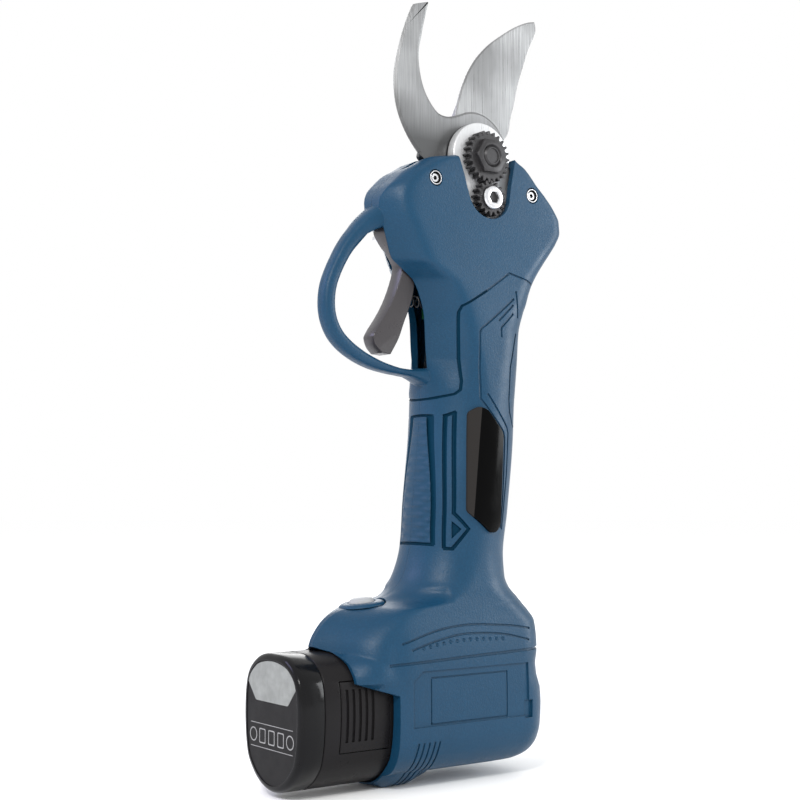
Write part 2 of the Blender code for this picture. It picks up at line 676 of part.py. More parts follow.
# Moving blade: cutting edge from its tip down, the root round the bolt, then the spine.
BLADE = ([(60.5, 301.2), (57.0, 300.3), (51.9, 298.0), (46.9, 295.0), (41.9, 291.5), (36.9, 287.7),
          (32.9, 284.0), (28.9, 279.5), (25.4, 274.2), (22.9, 269.2), (20.9, 264.2), (19.4, 259.2),
          (18.2, 254.5), (16.4, 243.5)] + arc(PIVOT, 9.2, 160, 350, 12) + [(38.5, 242.0), (45.2, 250.9),
         (46.2, 253.4), (46.9, 257.4), (48.9, 264.2), (51.0, 272.6), (53.9, 280.7), (57.0, 288.9),
         (60.3, 295.4), (61.0, 298.0)])

HOOK_SCREW = (8.8, 231.4)


def head_frame():
    """Aluminium clevis: the front plate with its round boss, the rear plate and the drive neck."""
    face = (arc(PIVOT, 14.3, 8, 186, 24) + [(5.2, 234.2), (4.0, 228.0), (9.6, 226.0), (11.5, 213.0), (15.0, 205.0),
            (32.0, 205.0), (37.0, 213.0), (39.3, 228.0), (39.3, 236.0)])
    made = plate("head_frame", [face], FRAME_FRONT, FRAME_FACE, "aluminium")
    rear = (arc(PIVOT, 12.0, 0, 180, 16) + [(12.2, 228.0), (13.0, 212.0), (16.0, 205.0), (31.0, 205.0),
            (35.5, 212.0), (37.5, 228.0)])
    boolean(made, plate("rear_plate", [rear], *REAR_PLATE), "UNION")
    profile = ((0, -BEARING_TOP + 0.6), (8.5, -BEARING_TOP + 0.6), (8.5, -BEARING_LOW + 1), (12.8, -BEARING_LOW + 1),
               (12.8, -BEARING_LOW - BEARING_T), (0, -BEARING_LOW - BEARING_T))
    boolean(made, turned("neck", profile, drive_matrix(0)), "UNION")
    apply_all(made)
    bore = ((0, 0), (6.55, 0), (6.55, -BEARING_TOP - BEARING_T), (4.4, -BEARING_TOP - BEARING_T),
            (4.4, -BEARING_LOW), (6.55, -BEARING_LOW), (6.55, -70), (0, -70))
    boolean(made, turned("neck_bore", bore, drive_matrix(0)))
    # The bore stops below the plates, which keep their own faces above it.
    boolean(made, rod("bolt_hole", BOLT_R + 0.1, (PIVOT[0], -20, PIVOT[1]), (PIVOT[0], 20, PIVOT[1]), steps=48))
    boolean(made, rod("lock_hole", 1.6, (LOCK_AT[0], -20, LOCK_AT[1]), (LOCK_AT[0], -4, LOCK_AT[1]), steps=16))
    x, z = HOOK_SCREW
    boolean(made, rod("hook_hole", 1.75, (x, -20, z), (x, -4, z), steps=16))
    boolean(made, rod("hook_sink", 2.8, (x, -20, z), (x, -6.6, z), steps=20))


def blades():
    holes = [circle(PIVOT, BOLT_R + 0.1, 48)[::-1], circle(HOOK_SCREW, 1.6, 16)[::-1]]
    plate("fixed_blade", [HOOK] + holes, HOOK_FRONT, HOOK_BACK, "blade_steel")
    turn = Matrix.Translation(Vector((HOOK_SCREW[0], -8.7, HOOK_SCREW[1])) * MM)
    turn = turn @ Matrix.Rotation(math.pi / 2, 4, "X")
    profile = ((0, 0), (2.6, 0), (2.6, -1.8), (1.4, -1.8), (1.4, -7.8), (0, -7.8))
    made = turned("hook_screw", profile, turn, "screw_steel", steps=16)
    boolean(made, prism("hook_screw_socket", [circle((0, 0), 1.2, 6)], -1.0, 1, turn))
    bore = circle(PIVOT, BOLT_R + 0.05, 48)[::-1]
    plate("moving_blade", [BLADE, bore], BLADE_FRONT, BLADE_BACK, "blade_steel", PIVOT)


def sector_gear():
    """Bevel sector: its teeth face the pinion and its hub carries the moving blade."""
    pitch = WHEEL_TEETH * BEVEL_MODULE / 2
    inner = pitch - BEVEL_FACE
    slope = PINION_TEETH / WHEEL_TEETH
    down = -math.pi / 2 - DRIVE_LEAN
    step = 2 * math.pi / WHEEL_TEETH
    first, last = -2.0, CLOSE_DEG / 360 * WHEEL_TEETH + 1.5

    def section(angle, rise):
        ring = []
        outer = pitch + 0.2
        for r, y in ((BOLT_R + 0.1, WHEEL_HUB), (9.15, WHEEL_HUB), (inner, DRIVE_Y + inner * slope + rise * inner / pitch),
                     (outer, DRIVE_Y + pitch * slope + rise), (outer, WHEEL_BACK), (BOLT_R + 0.1, WHEEL_BACK)):
            ring.append((PIVOT[0] + r * math.cos(angle), y, PIVOT[1] + r * math.sin(angle)))
        return ring

    rings = []
    # A gap is centred on the line towards the pinion; teeth run towards -X from there.
    tooth = ((0.0, 1.0), (0.13, 1.0), (0.38, -0.8), (0.62, -0.8), (0.87, 1.0))
    count = round(last - first)
    for i in range(count):
        for share, height in tooth:
            angle = down - (first + i + share) * step
            rings.append(section(angle, height * BEVEL_MODULE * (1.15 if height > 0 else 0.85)))
    rings.append(section(down - (first + count) * step, BEVEL_MODULE * 1.15))
    hub_steps = 20
    start, span = down - (first + count) * step, 2 * math.pi - count * step
    for i in range(hub_steps + 1):
        angle = start - 0.004 - (span - 0.008) * i / hub_steps
        ring = []
        for r, y in ((BOLT_R + 0.1, WHEEL_HUB), (9.15, WHEEL_HUB), (9.25, 4.4), (9.3, 6.0), (9.3, WHEEL_BACK),
                     (BOLT_R + 0.1, WHEEL_BACK)):
            ring.append((PIVOT[0] + r * math.cos(angle), y, PIVOT[1] + r * math.sin(angle)))
        rings.append(ring)
    loft("sector_gear", rings, "gear_steel", closed=True)


def pivot_pieces():
    back = Matrix.Translation(Vector((PIVOT[0], REAR_PLATE[1] + GAP, PIVOT[1])) * MM) @ Matrix.Rotation(
        math.pi / 2, 4, "X")
    # Bolt: hexagon head at the back, shank through every plate, domed end at the nut.
    shank = REAR_PLATE[1] + GAP + 15.9
    profile = ((0, -1.0), (BOLT_R, -1.0), (BOLT_R, shank - 0.9), (BOLT_R - 0.9, shank), (0, shank))
    bolt = turned("pivot_bolt", profile[::-1], back, "black_oxide", steps=48)
    head = prism("bolt_hexagon", [circle((0, 0), 7.2, 6)], -3.6, 0, back)
    boolean(bolt, head, "UNION")
    about = Matrix.Translation(Vector((PIVOT[0], 0, PIVOT[1])) * MM) @ Matrix.Rotation(math.pi / 2, 4, "X")
    teeth = moved(notched_outline(NUT_TEETH, NUT_MODULE), (0, 0))
    nut = prism("pivot_nut", [teeth], -NUT_BACK, -NUT_FRONT, about, "black_oxide")
    boolean(nut, prism("nut_hexagon", [circle((0, 0), 7.4, 6)], -NUT_BACK - 0.5 + 1, 15.3, about), "UNION")
    boolean(nut, prism("nut_bore", [circle((0, 0), BOLT_R + 0.1, 48)], 5, 18, about))
    lock = Matrix.Translation(Vector((LOCK_AT[0], 0, LOCK_AT[1])) * MM) @ Matrix.Rotation(math.pi / 2, 4, "X")
    towards = math.atan2(PIVOT[1] - LOCK_AT[1], PIVOT[0] - LOCK_AT[0])
    # The nut shows a tooth at a whole number of steps, so the lock gear's gap faces that line.
    nut_step = 2 * math.pi / NUT_TEETH
    offset = (towards + math.pi) % nut_step
    share = offset / nut_step
    phase = towards + (0.5 + share) * 2 * math.pi / LOCK_TEETH
    rim = notched_outline(LOCK_TEETH, NUT_MODULE, phase)
    gear = prism("lock_gear", [rim], -NUT_BACK, -NUT_FRONT, lock, "black_oxide")
    boolean(gear, prism("lock_bore", [circle((0, 0), 1.7, 16)], 5, 18, lock))
    profile = ((0, 15.0), (4.2, 15.0), (4.6, 14.6), (4.6, 13.6), (1.5, 13.6), (1.5, 5.0), (0, 5.0))
    made = turned("lock_screw", profile, lock, "screw_steel", steps=28)
    boolean(made, prism("lock_socket", [circle((0, 0), 2.4, 6)], 14.1, 17, lock))


# ---------------------------------------------------------------- drive train

def bevel_pinion():
    far = PINION_TEETH * BEVEL_MODULE / 2
    apex = WHEEL_TEETH * BEVEL_MODULE / 2
    small = (apex - BEVEL_FACE) / apex
    outline = gear_outline(PINION_TEETH, BEVEL_MODULE, -1.25, 0.8, -0.2)
    rings = [[(x * k, y * k, -apex * k) for x, y in outline] for k in (1.0, small)]
    made = loft("bevel_pinion", rings, "gear_steel", matrix=drive_matrix(0))
    shaft = ((0, -11), (2.2, -11), (2.2, -apex + 0.5), (3.0, -apex + 0.4), (3.0, -62.4), (0, -62.4))
    boolean(made, turned("pinion_shaft", shaft, drive_matrix(0), steps=24), "UNION")
    return far


def bearings():
    for name, top in (("pinion_bearing_upper", BEARING_TOP), ("pinion_bearing_lower", BEARING_LOW)):
        low, high = -top - BEARING_T + GAP, -top - GAP
        profile = ((3.05, high), (6.45, high), (6.45, low), (3.05, low))
        turned(name, profile, drive_matrix(0), "gear_steel", steps=24, ring=True)


def planetary():
    spacing = (SUN_TEETH + PLANET_TEETH) * PLANET_MODULE / 2
    frame = drive_matrix(0)
    low, high = -CARRIER[1], -CARRIER[0]
    carrier = turned("planet_carrier", ((3.05, high), (10.2, high), (10.2, low), (3.05, low)), frame,
                     "gear_steel", steps=32, ring=True)
    hole = ((0, -PLANETS[0] + 0.3), (3.6, -PLANETS[0] + 0.3), (3.6, -CARRIER[1] + 0.8), (0, -CARRIER[1] + 0.8))
    boolean(carrier, turned("carrier_relief", hole, frame))
    for i in range(3):
        angle = 2 * math.pi * i / 3
        x, y = spacing * math.cos(angle), spacing * math.sin(angle)
        here = frame @ Matrix.Translation(Vector((x, y, 0)) * MM)
        pin = ((0, -CARRIER[0] - 1), (1.2, -CARRIER[0] - 1), (1.2, -PLANETS[1] - 0.4), (0, -PLANETS[1] - 0.4))
        boolean(carrier, turned(f"planet_pin_{i}", pin, here, steps=16), "UNION")
        outline = gear_outline(PLANET_TEETH, PLANET_MODULE, -1.25, 0.85, -0.1, angle)
        bore = circle((0, 0), 1.25, 16)[::-1]
        prism(f"planet_gear_{i + 1}", [outline, bore], -PLANETS[1], -PLANETS[0], here, "gear_steel")
    spaces = gear_outline(RING_TEETH, PLANET_MODULE, -0.85, 1.25, 0.1)
    prism("ring_gear_case", [circle((0, 0), 13.0, 40), spaces[::-1]], -CASE[1], -CASE[0], frame, "gear_steel")


def motor():
    frame = drive_matrix(0)
    top, bottom, outer = -CAN[0], -CAN[1], 13.4
    profile = ((2.4, top), (outer, top), (outer, bottom), (outer - 1.2, bottom), (outer - 1.2, top - 1.2),
               (2.4, top - 1.2))
    turned("motor_can", profile, frame, "gear_steel", steps=32, ring=True)
    top, bottom = -END_CAP[0], -END_CAP[1]
    profile = ((1.7, top), (outer, top), (outer, bottom), (1.7, bottom))
    turned("motor_end_cap", profile, frame, "black_plastic", steps=36, ring=True)
    sun = gear_outline(SUN_TEETH, PLANET_MODULE, -1.25, 0.9, -0.1)
    shaft = prism("sun_shaft", [sun], -PLANETS[1] - 1, -PLANETS[0], frame, "gear_steel")
    profile = ((0, -PLANETS[1]), (1.55, -PLANETS[1]), (1.55, -125.5), (0, -125.5))
    boolean(shaft, turned("shaft_rod", profile, frame, steps=20), "UNION")
    low, high = -ARMATURE[1], -ARMATURE[0]
    slots = []
    for i in range(5):
        middle = 72 * i
        slots += arc((0, 0), 8.4, middle - 28, middle + 28, 5)
        slots += arc((0, 0), 4.6, middle + 32, middle + 40, 1)
    armature = prism("motor_armature", [slots], low, high, frame, "copper")
    segments = turned("commutator", ((0, low + 1), (3.6, low + 1), (3.6, low - 5), (0, low - 5)), frame, steps=24)
    boolean(armature, segments, "UNION")
    boolean(armature, turned("armature_bore", ((0, high + 1), (1.65, high + 1), (1.65, low - 6), (0, low - 6)),
                             frame, steps=20))
    profile = ((9.0, high - 1), (11.9, high - 1), (11.9, low + 1), (9.0, low + 1))
    turned("motor_magnet_ring", profile, frame, "magnet", steps=32, ring=True)


# ---------------------------------------------------------------- trigger

TRIGGER = ((-23.6, 162.6), (-22.8, 160.2), (-19.6, 157.3), (-15.7, 157.0), (-12.0, 163.1), (-9.4, 169.5),
           (-7.1, 174.8), (-5.3, 180.1), (-4.4, 186.0), (-4.5, 192.0), (-6.0, 201.0), (-9.0, 206.6),
           (-13.5, 208.2), (-17.4, 206.4), (-18.6, 203.4), (-13.9, 196.8), (-10.6, 191.8), (-10.5, 189.4),
           (-11.9, 184.6), (-14.1, 179.2), (-16.5, 174.6), (-19.5, 170.0), (-22.1, 166.4), (-23.5, 164.0))


def trigger():
    hole = circle(TRIGGER_PIN, 1.55, 20)[::-1]
    made = plate("trigger", [TRIGGER, hole], -3.8, 3.8, "trigger_grey", TRIGGER_PIN)
    edge = made.modifiers.new("edge", "BEVEL")
    edge.width = 0.8 * MM
    edge.segments = 2
    edge.limit_method = "ANGLE"
    edge.angle_limit = math.radians(60)
    seat = rod("magnet_seat", 1.6, (-9.4, 0, 189), (0, 0, 189), steps=16)
    boolean(made, seat)
    spring_seat = rod("spring_seat", 2.8, (-11.3, 0, 178.5), (0, 0, 178.5), steps=16)
    boolean(made, spring_seat)
    rod("trigger_magnet", 1.4, (-8.6, 0, 189), (-6.4, 0, 189), "screw_steel", 16)
    rod("trigger_pin", 1.5, (TRIGGER_PIN[0], -10.3, TRIGGER_PIN[1]), (TRIGGER_PIN[0], 10.3, TRIGGER_PIN[1]),
        "screw_steel", 20)
    coil("trigger_spring", (-10.8, 0, 178.5), (5.6, 0, 178.5), 2.2, 0.5, 6, "screw_steel")
    box("trigger_sensor_board", (6.2, -6, 173), (7.4, 6, 193), "board_green")


# ---------------------------------------------------------------- button

def button():
    seat = Matrix.Translation(Vector((BUTTON_AT[0], 0, BUTTON_AT[1])) * MM) @ Matrix.Rotation(BUTTON_TILT, 4, "Y")
    ring = ((5.1, 2.0), (7.2, 2.0), (8.6, 1.1), (8.6, 0.7), (5.8, 0.7), (5.8, -4.0), (5.1, -4.0))
    turned("button_bezel", ring, seat, "blue_plastic", steps=28, ring=True)
    cap = ((0, 2.9), (3.6, 2.8), (4.6, 2.2), (4.9, 1.4), (4.9, -1.2), (1.4, -1.2), (1.4, -3.4), (0, -3.4))
    turned("power_button", cap, seat, "button_grey", steps=24)
    points = [seat @ Vector(p) for p in ((0, 0, -5.6 * MM), (0, 0, -1.4 * MM))]
    coil("button_spring", points[0] / MM, points[1] / MM, 2.4, 0.4, 3, "screw_steel")
    switch = box("power_switch", (-3.2, -3.2, -9.2), (3.2, 3.2, -5.9), "black_plastic")
    switch.matrix_local = seat @ Matrix.Translation((0, 0, -7.55 * MM))


# ---------------------------------------------------------------- battery pack

def battery():
    shell_solid = pack_prism("battery_shell", PACK_SEAM + GAP / 2, PACK_REAR, 0.0, "black_plastic")
    boolean(shell_solid, box("keel_end", (KEEL_END, -40, -9), (90, 40, KEEL_TOP)))
    hollow = pack_prism("pack_hollow", PACK_SEAM - 1, PACK_REAR - 1.4, -1.6)
    boolean(hollow, box("hollow_floor", (KEEL_END - 1.6, -40, -9), (90, 40, KEEL_TOP + 1.6)))
    boolean(shell_solid, hollow)
    boolean(shell_solid, box("spring_rib", (-41.5, -2.4, 0.6), (-34.5, 2.4, 47.6)), "UNION")
    for i, (y, z) in enumerate((y, z) for y in (-CELL_Y, CELL_Y) for z in CELL_Z):
        name = f"cell_{i + 1}"
        rod(name, CELL_R, (CELL_X, y, z), (CELL_X + CELL_L, y, z), "cell_wrap", 28)
        boolean(shell_solid, rod(name + "_bay", CELL_R + 0.2, (CELL_X - 2, y, z), (PACK_REAR - 0.8, y, z), steps=28))
    for side in (-1, 1):
        low, high = sorted((side * 12, side * 24))
        window = box(f"latch_window_{side}", (LATCH_X[0] - GAP, low, LATCH_Z[0] - GAP),
                     (LATCH_X[1] + GAP, high, LATCH_Z[1] + GAP))
        boolean(shell_solid, window)
    for side in (-1, 1):
        slot = box(f"contact_slot_{side}", (29, side * 3 - 0.8, 42.8), (PACK_REAR + 2, side * 3 + 0.8, 52))
        boolean(shell_solid, slot)
        box("battery_contact_" + ("left" if side < 0 else "right"), (31.0, side * 3 - 0.4, 45.0),
            (38.4, side * 3 + 0.4, 50.6), "copper")
    box("terminal_block", (29.6, -8, 51.2), (39.6, 8, 55.4), "black_plastic", bevel=0.5)
    cap_rings = [pack_section(PACK_SEAM - GAP / 2, -0.1), pack_section(PACK_FRONT + 1.4, -0.1),
                 pack_section(PACK_FRONT + 0.4, -0.6), pack_section(PACK_FRONT, -1.6)]
    cap = loft("battery_cap", cap_rings, "black_gloss")
    boolean(cap, pack_prism("cap_hollow", PACK_FRONT + 1.8, PACK_SEAM + 1, -2.0))
    boolean(cap, pack_prism("label_recess", PACK_FRONT - 1, PACK_FRONT + 0.3, -2.6))
    box("battery_board", (-53.4, -12.5, 10.5), (-52.0, 12.5, 41.0), "board_green")


def latches():
    """Side keys of the battery: ribbed plates cut from its own section, on springs."""
    for side, word in ((-1, "left"), (1, "right")):
        name = f"battery_latch_{word}"
        made = pack_prism(name, *LATCH_X, 0.25, "black_plastic")
        low, high = sorted((side * 15.9, side * 24))
        keep = box(name + "_keep", (-60, low, LATCH_Z[0]), (-10, high, LATCH_Z[1]))
        boolean(made, keep, "INTERSECT")
        coil(f"latch_spring_{word}", (-38, side * 3.0, 27), (-38, side * 15.6, 27), 3.0, 0.5, 4, "screw_steel")


# ---------------------------------------------------------------- electronics

def electronics():
    board = box("control_board", (-13.0, -15.0, 54.0), (28.5, 15.0, 55.6), "board_green")
    chips = (((-10, -9, 55), (0, -1, 57.6)), ((4, 3, 55), (12, 12, 58.4)), ((-9, 4, 55), (-2, 12, 60.5)))
    for i, (low, high) in enumerate(chips):
        boolean(board, box(f"board_chip_{i}", low, high), "UNION")
    end = drive_matrix(127.2).translation / MM
    for side, word, finish in ((-1, "black", "black_wire"), (1, "red", "red_wire")):
        wire(f"motor_lead_{word}", [(end.x - 1, DRIVE_Y + side * 7, end.z - 0.4), (end.x - 2, side * 9, 96),
             (end.x - 3, side * 10, 78), (end.x - 4, side * 10, 64), (end.x - 4, side * 9.5, 57.4)], 0.9, finish)
        wire(f"battery_lead_{word}", [(36.6, side * 5, 56.3), (36.6, side * 6, 60), (33.5, side * 8, 62.6),
             (29.5, side * 9, 61.0), (27.0, side * 9.5, 57.6)], 0.8, finish)


housing()
badge("badge_left", -1)
badge("badge_right", 1)
head_frame()
blades()
sector_gear()
pivot_pieces()
bevel_pinion()
bearings()
planetary()
motor()
trigger()
button()
battery()
latches()
electronics()
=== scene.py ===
"""Looks of the battery electric pruner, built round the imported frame.

Outlines below are millimetres in the design frame of the part: +Z up, +Y away from the toothed
pivot nut, -X towards the trigger and the battery, and z = 0 at the battery's underside. The tool
frame (u, w) leans with the handle: u across it and w up it.
"""
import json
import math

import bmesh
import bpy
import numpy as np
from mathutils import Matrix, Vector
from mathutils.bvhtree import BVHTree

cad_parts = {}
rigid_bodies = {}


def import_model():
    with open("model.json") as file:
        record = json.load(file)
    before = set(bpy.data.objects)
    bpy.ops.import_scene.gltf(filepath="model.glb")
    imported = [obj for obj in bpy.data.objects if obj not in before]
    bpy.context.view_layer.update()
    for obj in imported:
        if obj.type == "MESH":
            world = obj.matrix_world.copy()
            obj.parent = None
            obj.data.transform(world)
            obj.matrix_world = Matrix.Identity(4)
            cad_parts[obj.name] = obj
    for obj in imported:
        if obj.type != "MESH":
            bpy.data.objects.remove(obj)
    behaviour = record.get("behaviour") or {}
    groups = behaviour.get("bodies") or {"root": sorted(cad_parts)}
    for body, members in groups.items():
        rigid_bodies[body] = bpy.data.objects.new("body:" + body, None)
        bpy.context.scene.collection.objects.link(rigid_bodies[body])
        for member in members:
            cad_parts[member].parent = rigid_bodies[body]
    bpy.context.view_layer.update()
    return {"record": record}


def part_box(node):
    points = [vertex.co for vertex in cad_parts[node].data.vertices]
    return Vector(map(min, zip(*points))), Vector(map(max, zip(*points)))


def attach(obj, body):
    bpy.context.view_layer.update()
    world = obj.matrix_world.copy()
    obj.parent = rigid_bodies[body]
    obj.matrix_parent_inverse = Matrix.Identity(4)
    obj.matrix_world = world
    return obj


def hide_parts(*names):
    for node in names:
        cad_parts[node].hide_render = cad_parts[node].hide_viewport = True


for thing in list(bpy.data.objects):
    bpy.data.objects.remove(thing, do_unlink=True)
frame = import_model()

MM = 0.001
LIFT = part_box("battery_shell")[0].z
AXIS_FOOT = 7.25
LEAN = math.radians(5.86)
PIVOT = (25.0, 236.4)
BUTTON_AT = (-26.0, 62.8)
BUTTON_TILT = math.radians(-7)
TRIGGER_PIN = (-13.0, 203.0)
LOCK_AT = (26.0, 220.2)
HOOK_SCREW = (8.8, 231.4)
WALL = 2.4
SPLIT = 0.03


# ---------------------------------------------------------------- camera, light, stage

def camera_and_light():
    scene = bpy.context.scene
    scene.view_settings.view_transform = "Standard"
    lens = bpy.data.cameras.new("camera")
    lens.sensor_width = 36
    lens.lens = 63
    lens.clip_start = 0.01
    view = bpy.data.objects.new("camera", lens)
    scene.collection.objects.link(view)
    turn, pitch = math.radians(36), math.atan(100 / 1400)
    forward = Vector((math.sin(turn) * math.cos(pitch), math.cos(turn) * math.cos(pitch), math.sin(pitch)))
    view.location = (-0.32075, -0.4295, 0.1041)
    view.rotation_euler = forward.to_track_quat("-Z", "Y").to_euler()
    scene.camera = view

    world = bpy.data.worlds.new("studio")
    scene.world = world
    world.use_nodes = True
    world.node_tree.nodes["Background"].inputs[0].default_value = (1.0, 1.0, 1.0, 1)
    world.node_tree.nodes["Background"].inputs[1].default_value = 1.0
    for name, place, size, power, colour in (
            ("key", (-0.85, -0.7, 0.85), 0.24, 9.0, (1.0, 0.99, 0.97)),
            ("side", (0.95, -0.55, 0.35), 0.45, 6.0, (0.95, 0.98, 1.0)),
            ("rim", (-0.8, 0.5, 0.7), 0.4, 3.0, (0.6, 0.58, 1.0)),
            ("back", (0.6, 0.9, 0.5), 0.6, 2.5, (1.0, 1.0, 1.0))):
        data = bpy.data.lights.new(name, "AREA")
        data.size = size
        data.energy = power
        data.color = colour
        lamp = bpy.data.objects.new(name, data)
        scene.collection.objects.link(lamp)
        lamp.location = place
        lamp.rotation_euler = (Vector((0, 0, 0.14)) - Vector(place)).to_track_quat("-Z", "Y").to_euler()

    bm = bmesh.new()
    bmesh.ops.create_circle(bm, cap_ends=True, segments=96, radius=7.0)
    mesh = bpy.data.meshes.new("floor")
    bm.to_mesh(mesh)
    bm.free()
    floor = bpy.data.objects.new("floor", mesh)
    scene.collection.objects.link(floor)
    floor.location.z = -0.0002
    made = bpy.data.materials.new("pale_floor")
    made.use_nodes = True
    shader = made.node_tree.nodes["Principled BSDF"]
    shader.inputs["Base Color"].default_value = (0.995, 0.995, 0.995, 1)
    shader.inputs["Roughness"].default_value = 1.0
    shader.inputs["Specular IOR Level"].default_value = 0.0
    mesh.materials.append(made)


camera_and_light()


# ---------------------------------------------------------------- materials

MATERIALS = {}


class Nodes:
    """Short way to add and join shader nodes."""

    def __init__(self, name):
        self.material = bpy.data.materials.new(name)
        self.material.use_nodes = True
        self.tree = self.material.node_tree
        self.shader = self.tree.nodes["Principled BSDF"]
        self.place = self.add("ShaderNodeTexCoord").outputs["Object"]

    def add(self, kind, **values):
        node = self.tree.nodes.new(kind)
        for key, value in values.items():
            setattr(node, key, value)
        return node

    def link(self, source, target):
        self.tree.links.new(source, target)

    def mapped(self, scale=(1, 1, 1), turn=(0, 0, 0)):
        node = self.add("ShaderNodeMapping")
        node.inputs["Scale"].default_value = scale
        node.inputs["Rotation"].default_value = turn
        self.link(self.place, node.inputs["Vector"])
        return node.outputs["Vector"]

    def noise(self, scale, detail=2.0, rough=0.5, vector=None):
        node = self.add("ShaderNodeTexNoise")
        node.inputs["Scale"].default_value = scale
        node.inputs["Detail"].default_value = detail
        node.inputs["Roughness"].default_value = rough
        self.link(vector or self.place, node.inputs["Vector"])
        return node.outputs["Fac"]

    def spread(self, value, low, high, from_low=0.3, from_high=0.7):
        node = self.add("ShaderNodeMapRange")
        for key, number in (("From Min", from_low), ("From Max", from_high), ("To Min", low), ("To Max", high)):
            node.inputs[key].default_value = number
        self.link(value, node.inputs["Value"])
        return node.outputs["Result"]

    def mix(self, factor, first, second):
        node = self.add("ShaderNodeMix", data_type="RGBA")
        self.link(factor, node.inputs["Factor"])
        for socket, value in ((node.inputs["A"], first), (node.inputs["B"], second)):
            if isinstance(value, tuple):
                socket.default_value = (*value, 1)
            else:
                self.link(value, socket)
        return node.outputs["Result"]

    def bump(self, height, distance, strength=1.0, normal=None):
        node = self.add("ShaderNodeBump")
        node.inputs["Strength"].default_value = strength
        node.inputs["Distance"].default_value = distance
        self.link(height, node.inputs["Height"])
        if normal is not None:
            self.link(normal, node.inputs["Normal"])
        return node.outputs["Normal"]

    def soft_edge(self, radius):
        node = self.add("ShaderNodeBevel", samples=4)
        node.inputs["Radius"].default_value = radius
        return node.outputs["Normal"]

    def set(self, **values):
        for key, value in values.items():
            socket = self.shader.inputs[key.replace("_", " ")]
            if isinstance(value, tuple):
                socket.default_value = (*value, 1)
            elif isinstance(value, (int, float)):
                socket.default_value = value
            else:
                self.link(value, socket)
        return self.material


def shade(colour, amount):
    return tuple(min(1.0, c * amount) for c in colour)


def moulded(name, colour, roughness=0.45, grain=1500.0, depth=0.00012, edge=0.0004, fleck=1.35, specular=0.1):
    """Moulded plastic with a fine spark-eroded grain, slow colour drift and soft edges."""
    n = Nodes(name)
    slow = n.noise(28, 3)
    fine = n.noise(grain, 2, 0.6)
    base = n.mix(n.spread(slow, 0, 1), shade(colour, 0.93), shade(colour, 1.07))
    base = n.mix(n.spread(fine, 0, 0.35, 0.45, 0.75), base, shade(colour, fleck))
    wear = n.noise(190, 4, 0.7)
    rough = n.spread(wear, roughness - 0.05, roughness + 0.08)
    normal = n.bump(n.noise(grain, 3, 0.65), depth, 0.8, n.soft_edge(edge) if edge else None)
    return n.set(Base_Color=base, Roughness=rough, Normal=normal, Specular_IOR_Level=specular)


def knurled(name, colour):
    """The grip strip: the same plastic with crossed fine ridges."""
    n = Nodes(name)
    slow = n.noise(28, 3)
    base = n.mix(n.spread(slow, 0, 1), shade(colour, 0.93), shade(colour, 1.07))
    waves = []
    for turn in (0.62, -0.62):
        wave = n.add("ShaderNodeTexWave", bands_direction="X")
        wave.inputs["Scale"].default_value = 1.0
        wave.inputs["Distortion"].default_value = 0.0
        n.link(n.mapped((140, 140, 140), (0, turn, 0)), wave.inputs["Vector"])
        waves.append(wave.outputs["Fac"])
    both = n.add("ShaderNodeMath", operation="MULTIPLY")
    n.link(waves[0], both.inputs[0])
    n.link(waves[1], both.inputs[1])
    grain = n.bump(n.noise(1500, 3, 0.65), 0.0001, 0.7, n.soft_edge(0.0003))
    normal = n.bump(both.outputs[0], 0.0005, 0.9, grain)
    return n.set(Base_Color=base, Roughness=n.spread(n.noise(190, 4, 0.7), 0.4, 0.5), Normal=normal,
                 Specular_IOR_Level=0.24)


def glossy(name, colour, roughness=0.12, edge=0.0002):
    """Polished black plastic with faint wipe marks."""
    n = Nodes(name)
    marks = n.noise(1.0, 4, 0.65, n.mapped((260, 40, 90), (0.3, 0.2, 0.1)))
    rough = n.spread(marks, roughness * 0.6, roughness * 1.7)
    base = n.mix(n.spread(n.noise(35, 2), 0, 1), shade(colour, 0.85), shade(colour, 1.2))
    normal = n.bump(n.noise(420, 2), 0.00001, 0.4, n.soft_edge(edge))
    return n.set(Base_Color=base, Roughness=rough, Normal=normal, Specular_IOR_Level=0.16)


def machined(name, colour, roughness, stretch, turn=(0, 0, 0), depth=0.00002, metallic=1.0, drift=0.12,
             edge=0.0001, broad=0.85, root_painted_shade=None):
    """Metal with the fine straight marks that a belt or a cutter leaves, and, if asked, painted shade towards the
    bottom.
    """
    n = Nodes(name)
    lines = n.noise(1.0, 5, 0.7, n.mapped(stretch, turn))
    patches = n.noise(45, 2, 0.4)
    base = n.mix(n.spread(lines, 0, 1, 0.25, 0.75), shade(colour, 1 - drift), shade(colour, 1 + drift))
    base = n.mix(n.spread(patches, 0, 0.8), base, shade(colour, broad))
    # Painted shade: below the first height the colour falls to a quarter, fading back to the plain colour by the
    # second.
    if root_painted_shade:
        height = n.add("ShaderNodeSeparateXYZ")
        n.link(n.place, height.inputs[0])
        base = n.mix(n.spread(height.outputs["Z"], 1, 0, *root_painted_shade), base, shade(colour, 0.25))
    rough = n.spread(lines, roughness - 0.06, roughness + 0.1, 0.25, 0.75)
    normal = n.bump(lines, depth, 0.6, n.soft_edge(edge))
    return n.set(Base_Color=base, Roughness=rough, Metallic=metallic, Normal=normal)


def plain(name, colour, roughness, metallic=0.0, scale=900, depth=0.00003):
    """Inner parts: wraps, boards, wires and cast pieces with a light surface grain."""
    n = Nodes(name)
    fine = n.noise(scale, 3, 0.6)
    base = n.mix(n.spread(n.noise(scale / 8, 3), 0, 1), shade(colour, 0.85), shade(colour, 1.15))
    return n.set(Base_Color=base, Roughness=n.spread(fine, roughness - 0.07, roughness + 0.1), Metallic=metallic,
                 Normal=n.bump(fine, depth, 0.6))


BLUE = (0.0045, 0.0400, 0.0860)

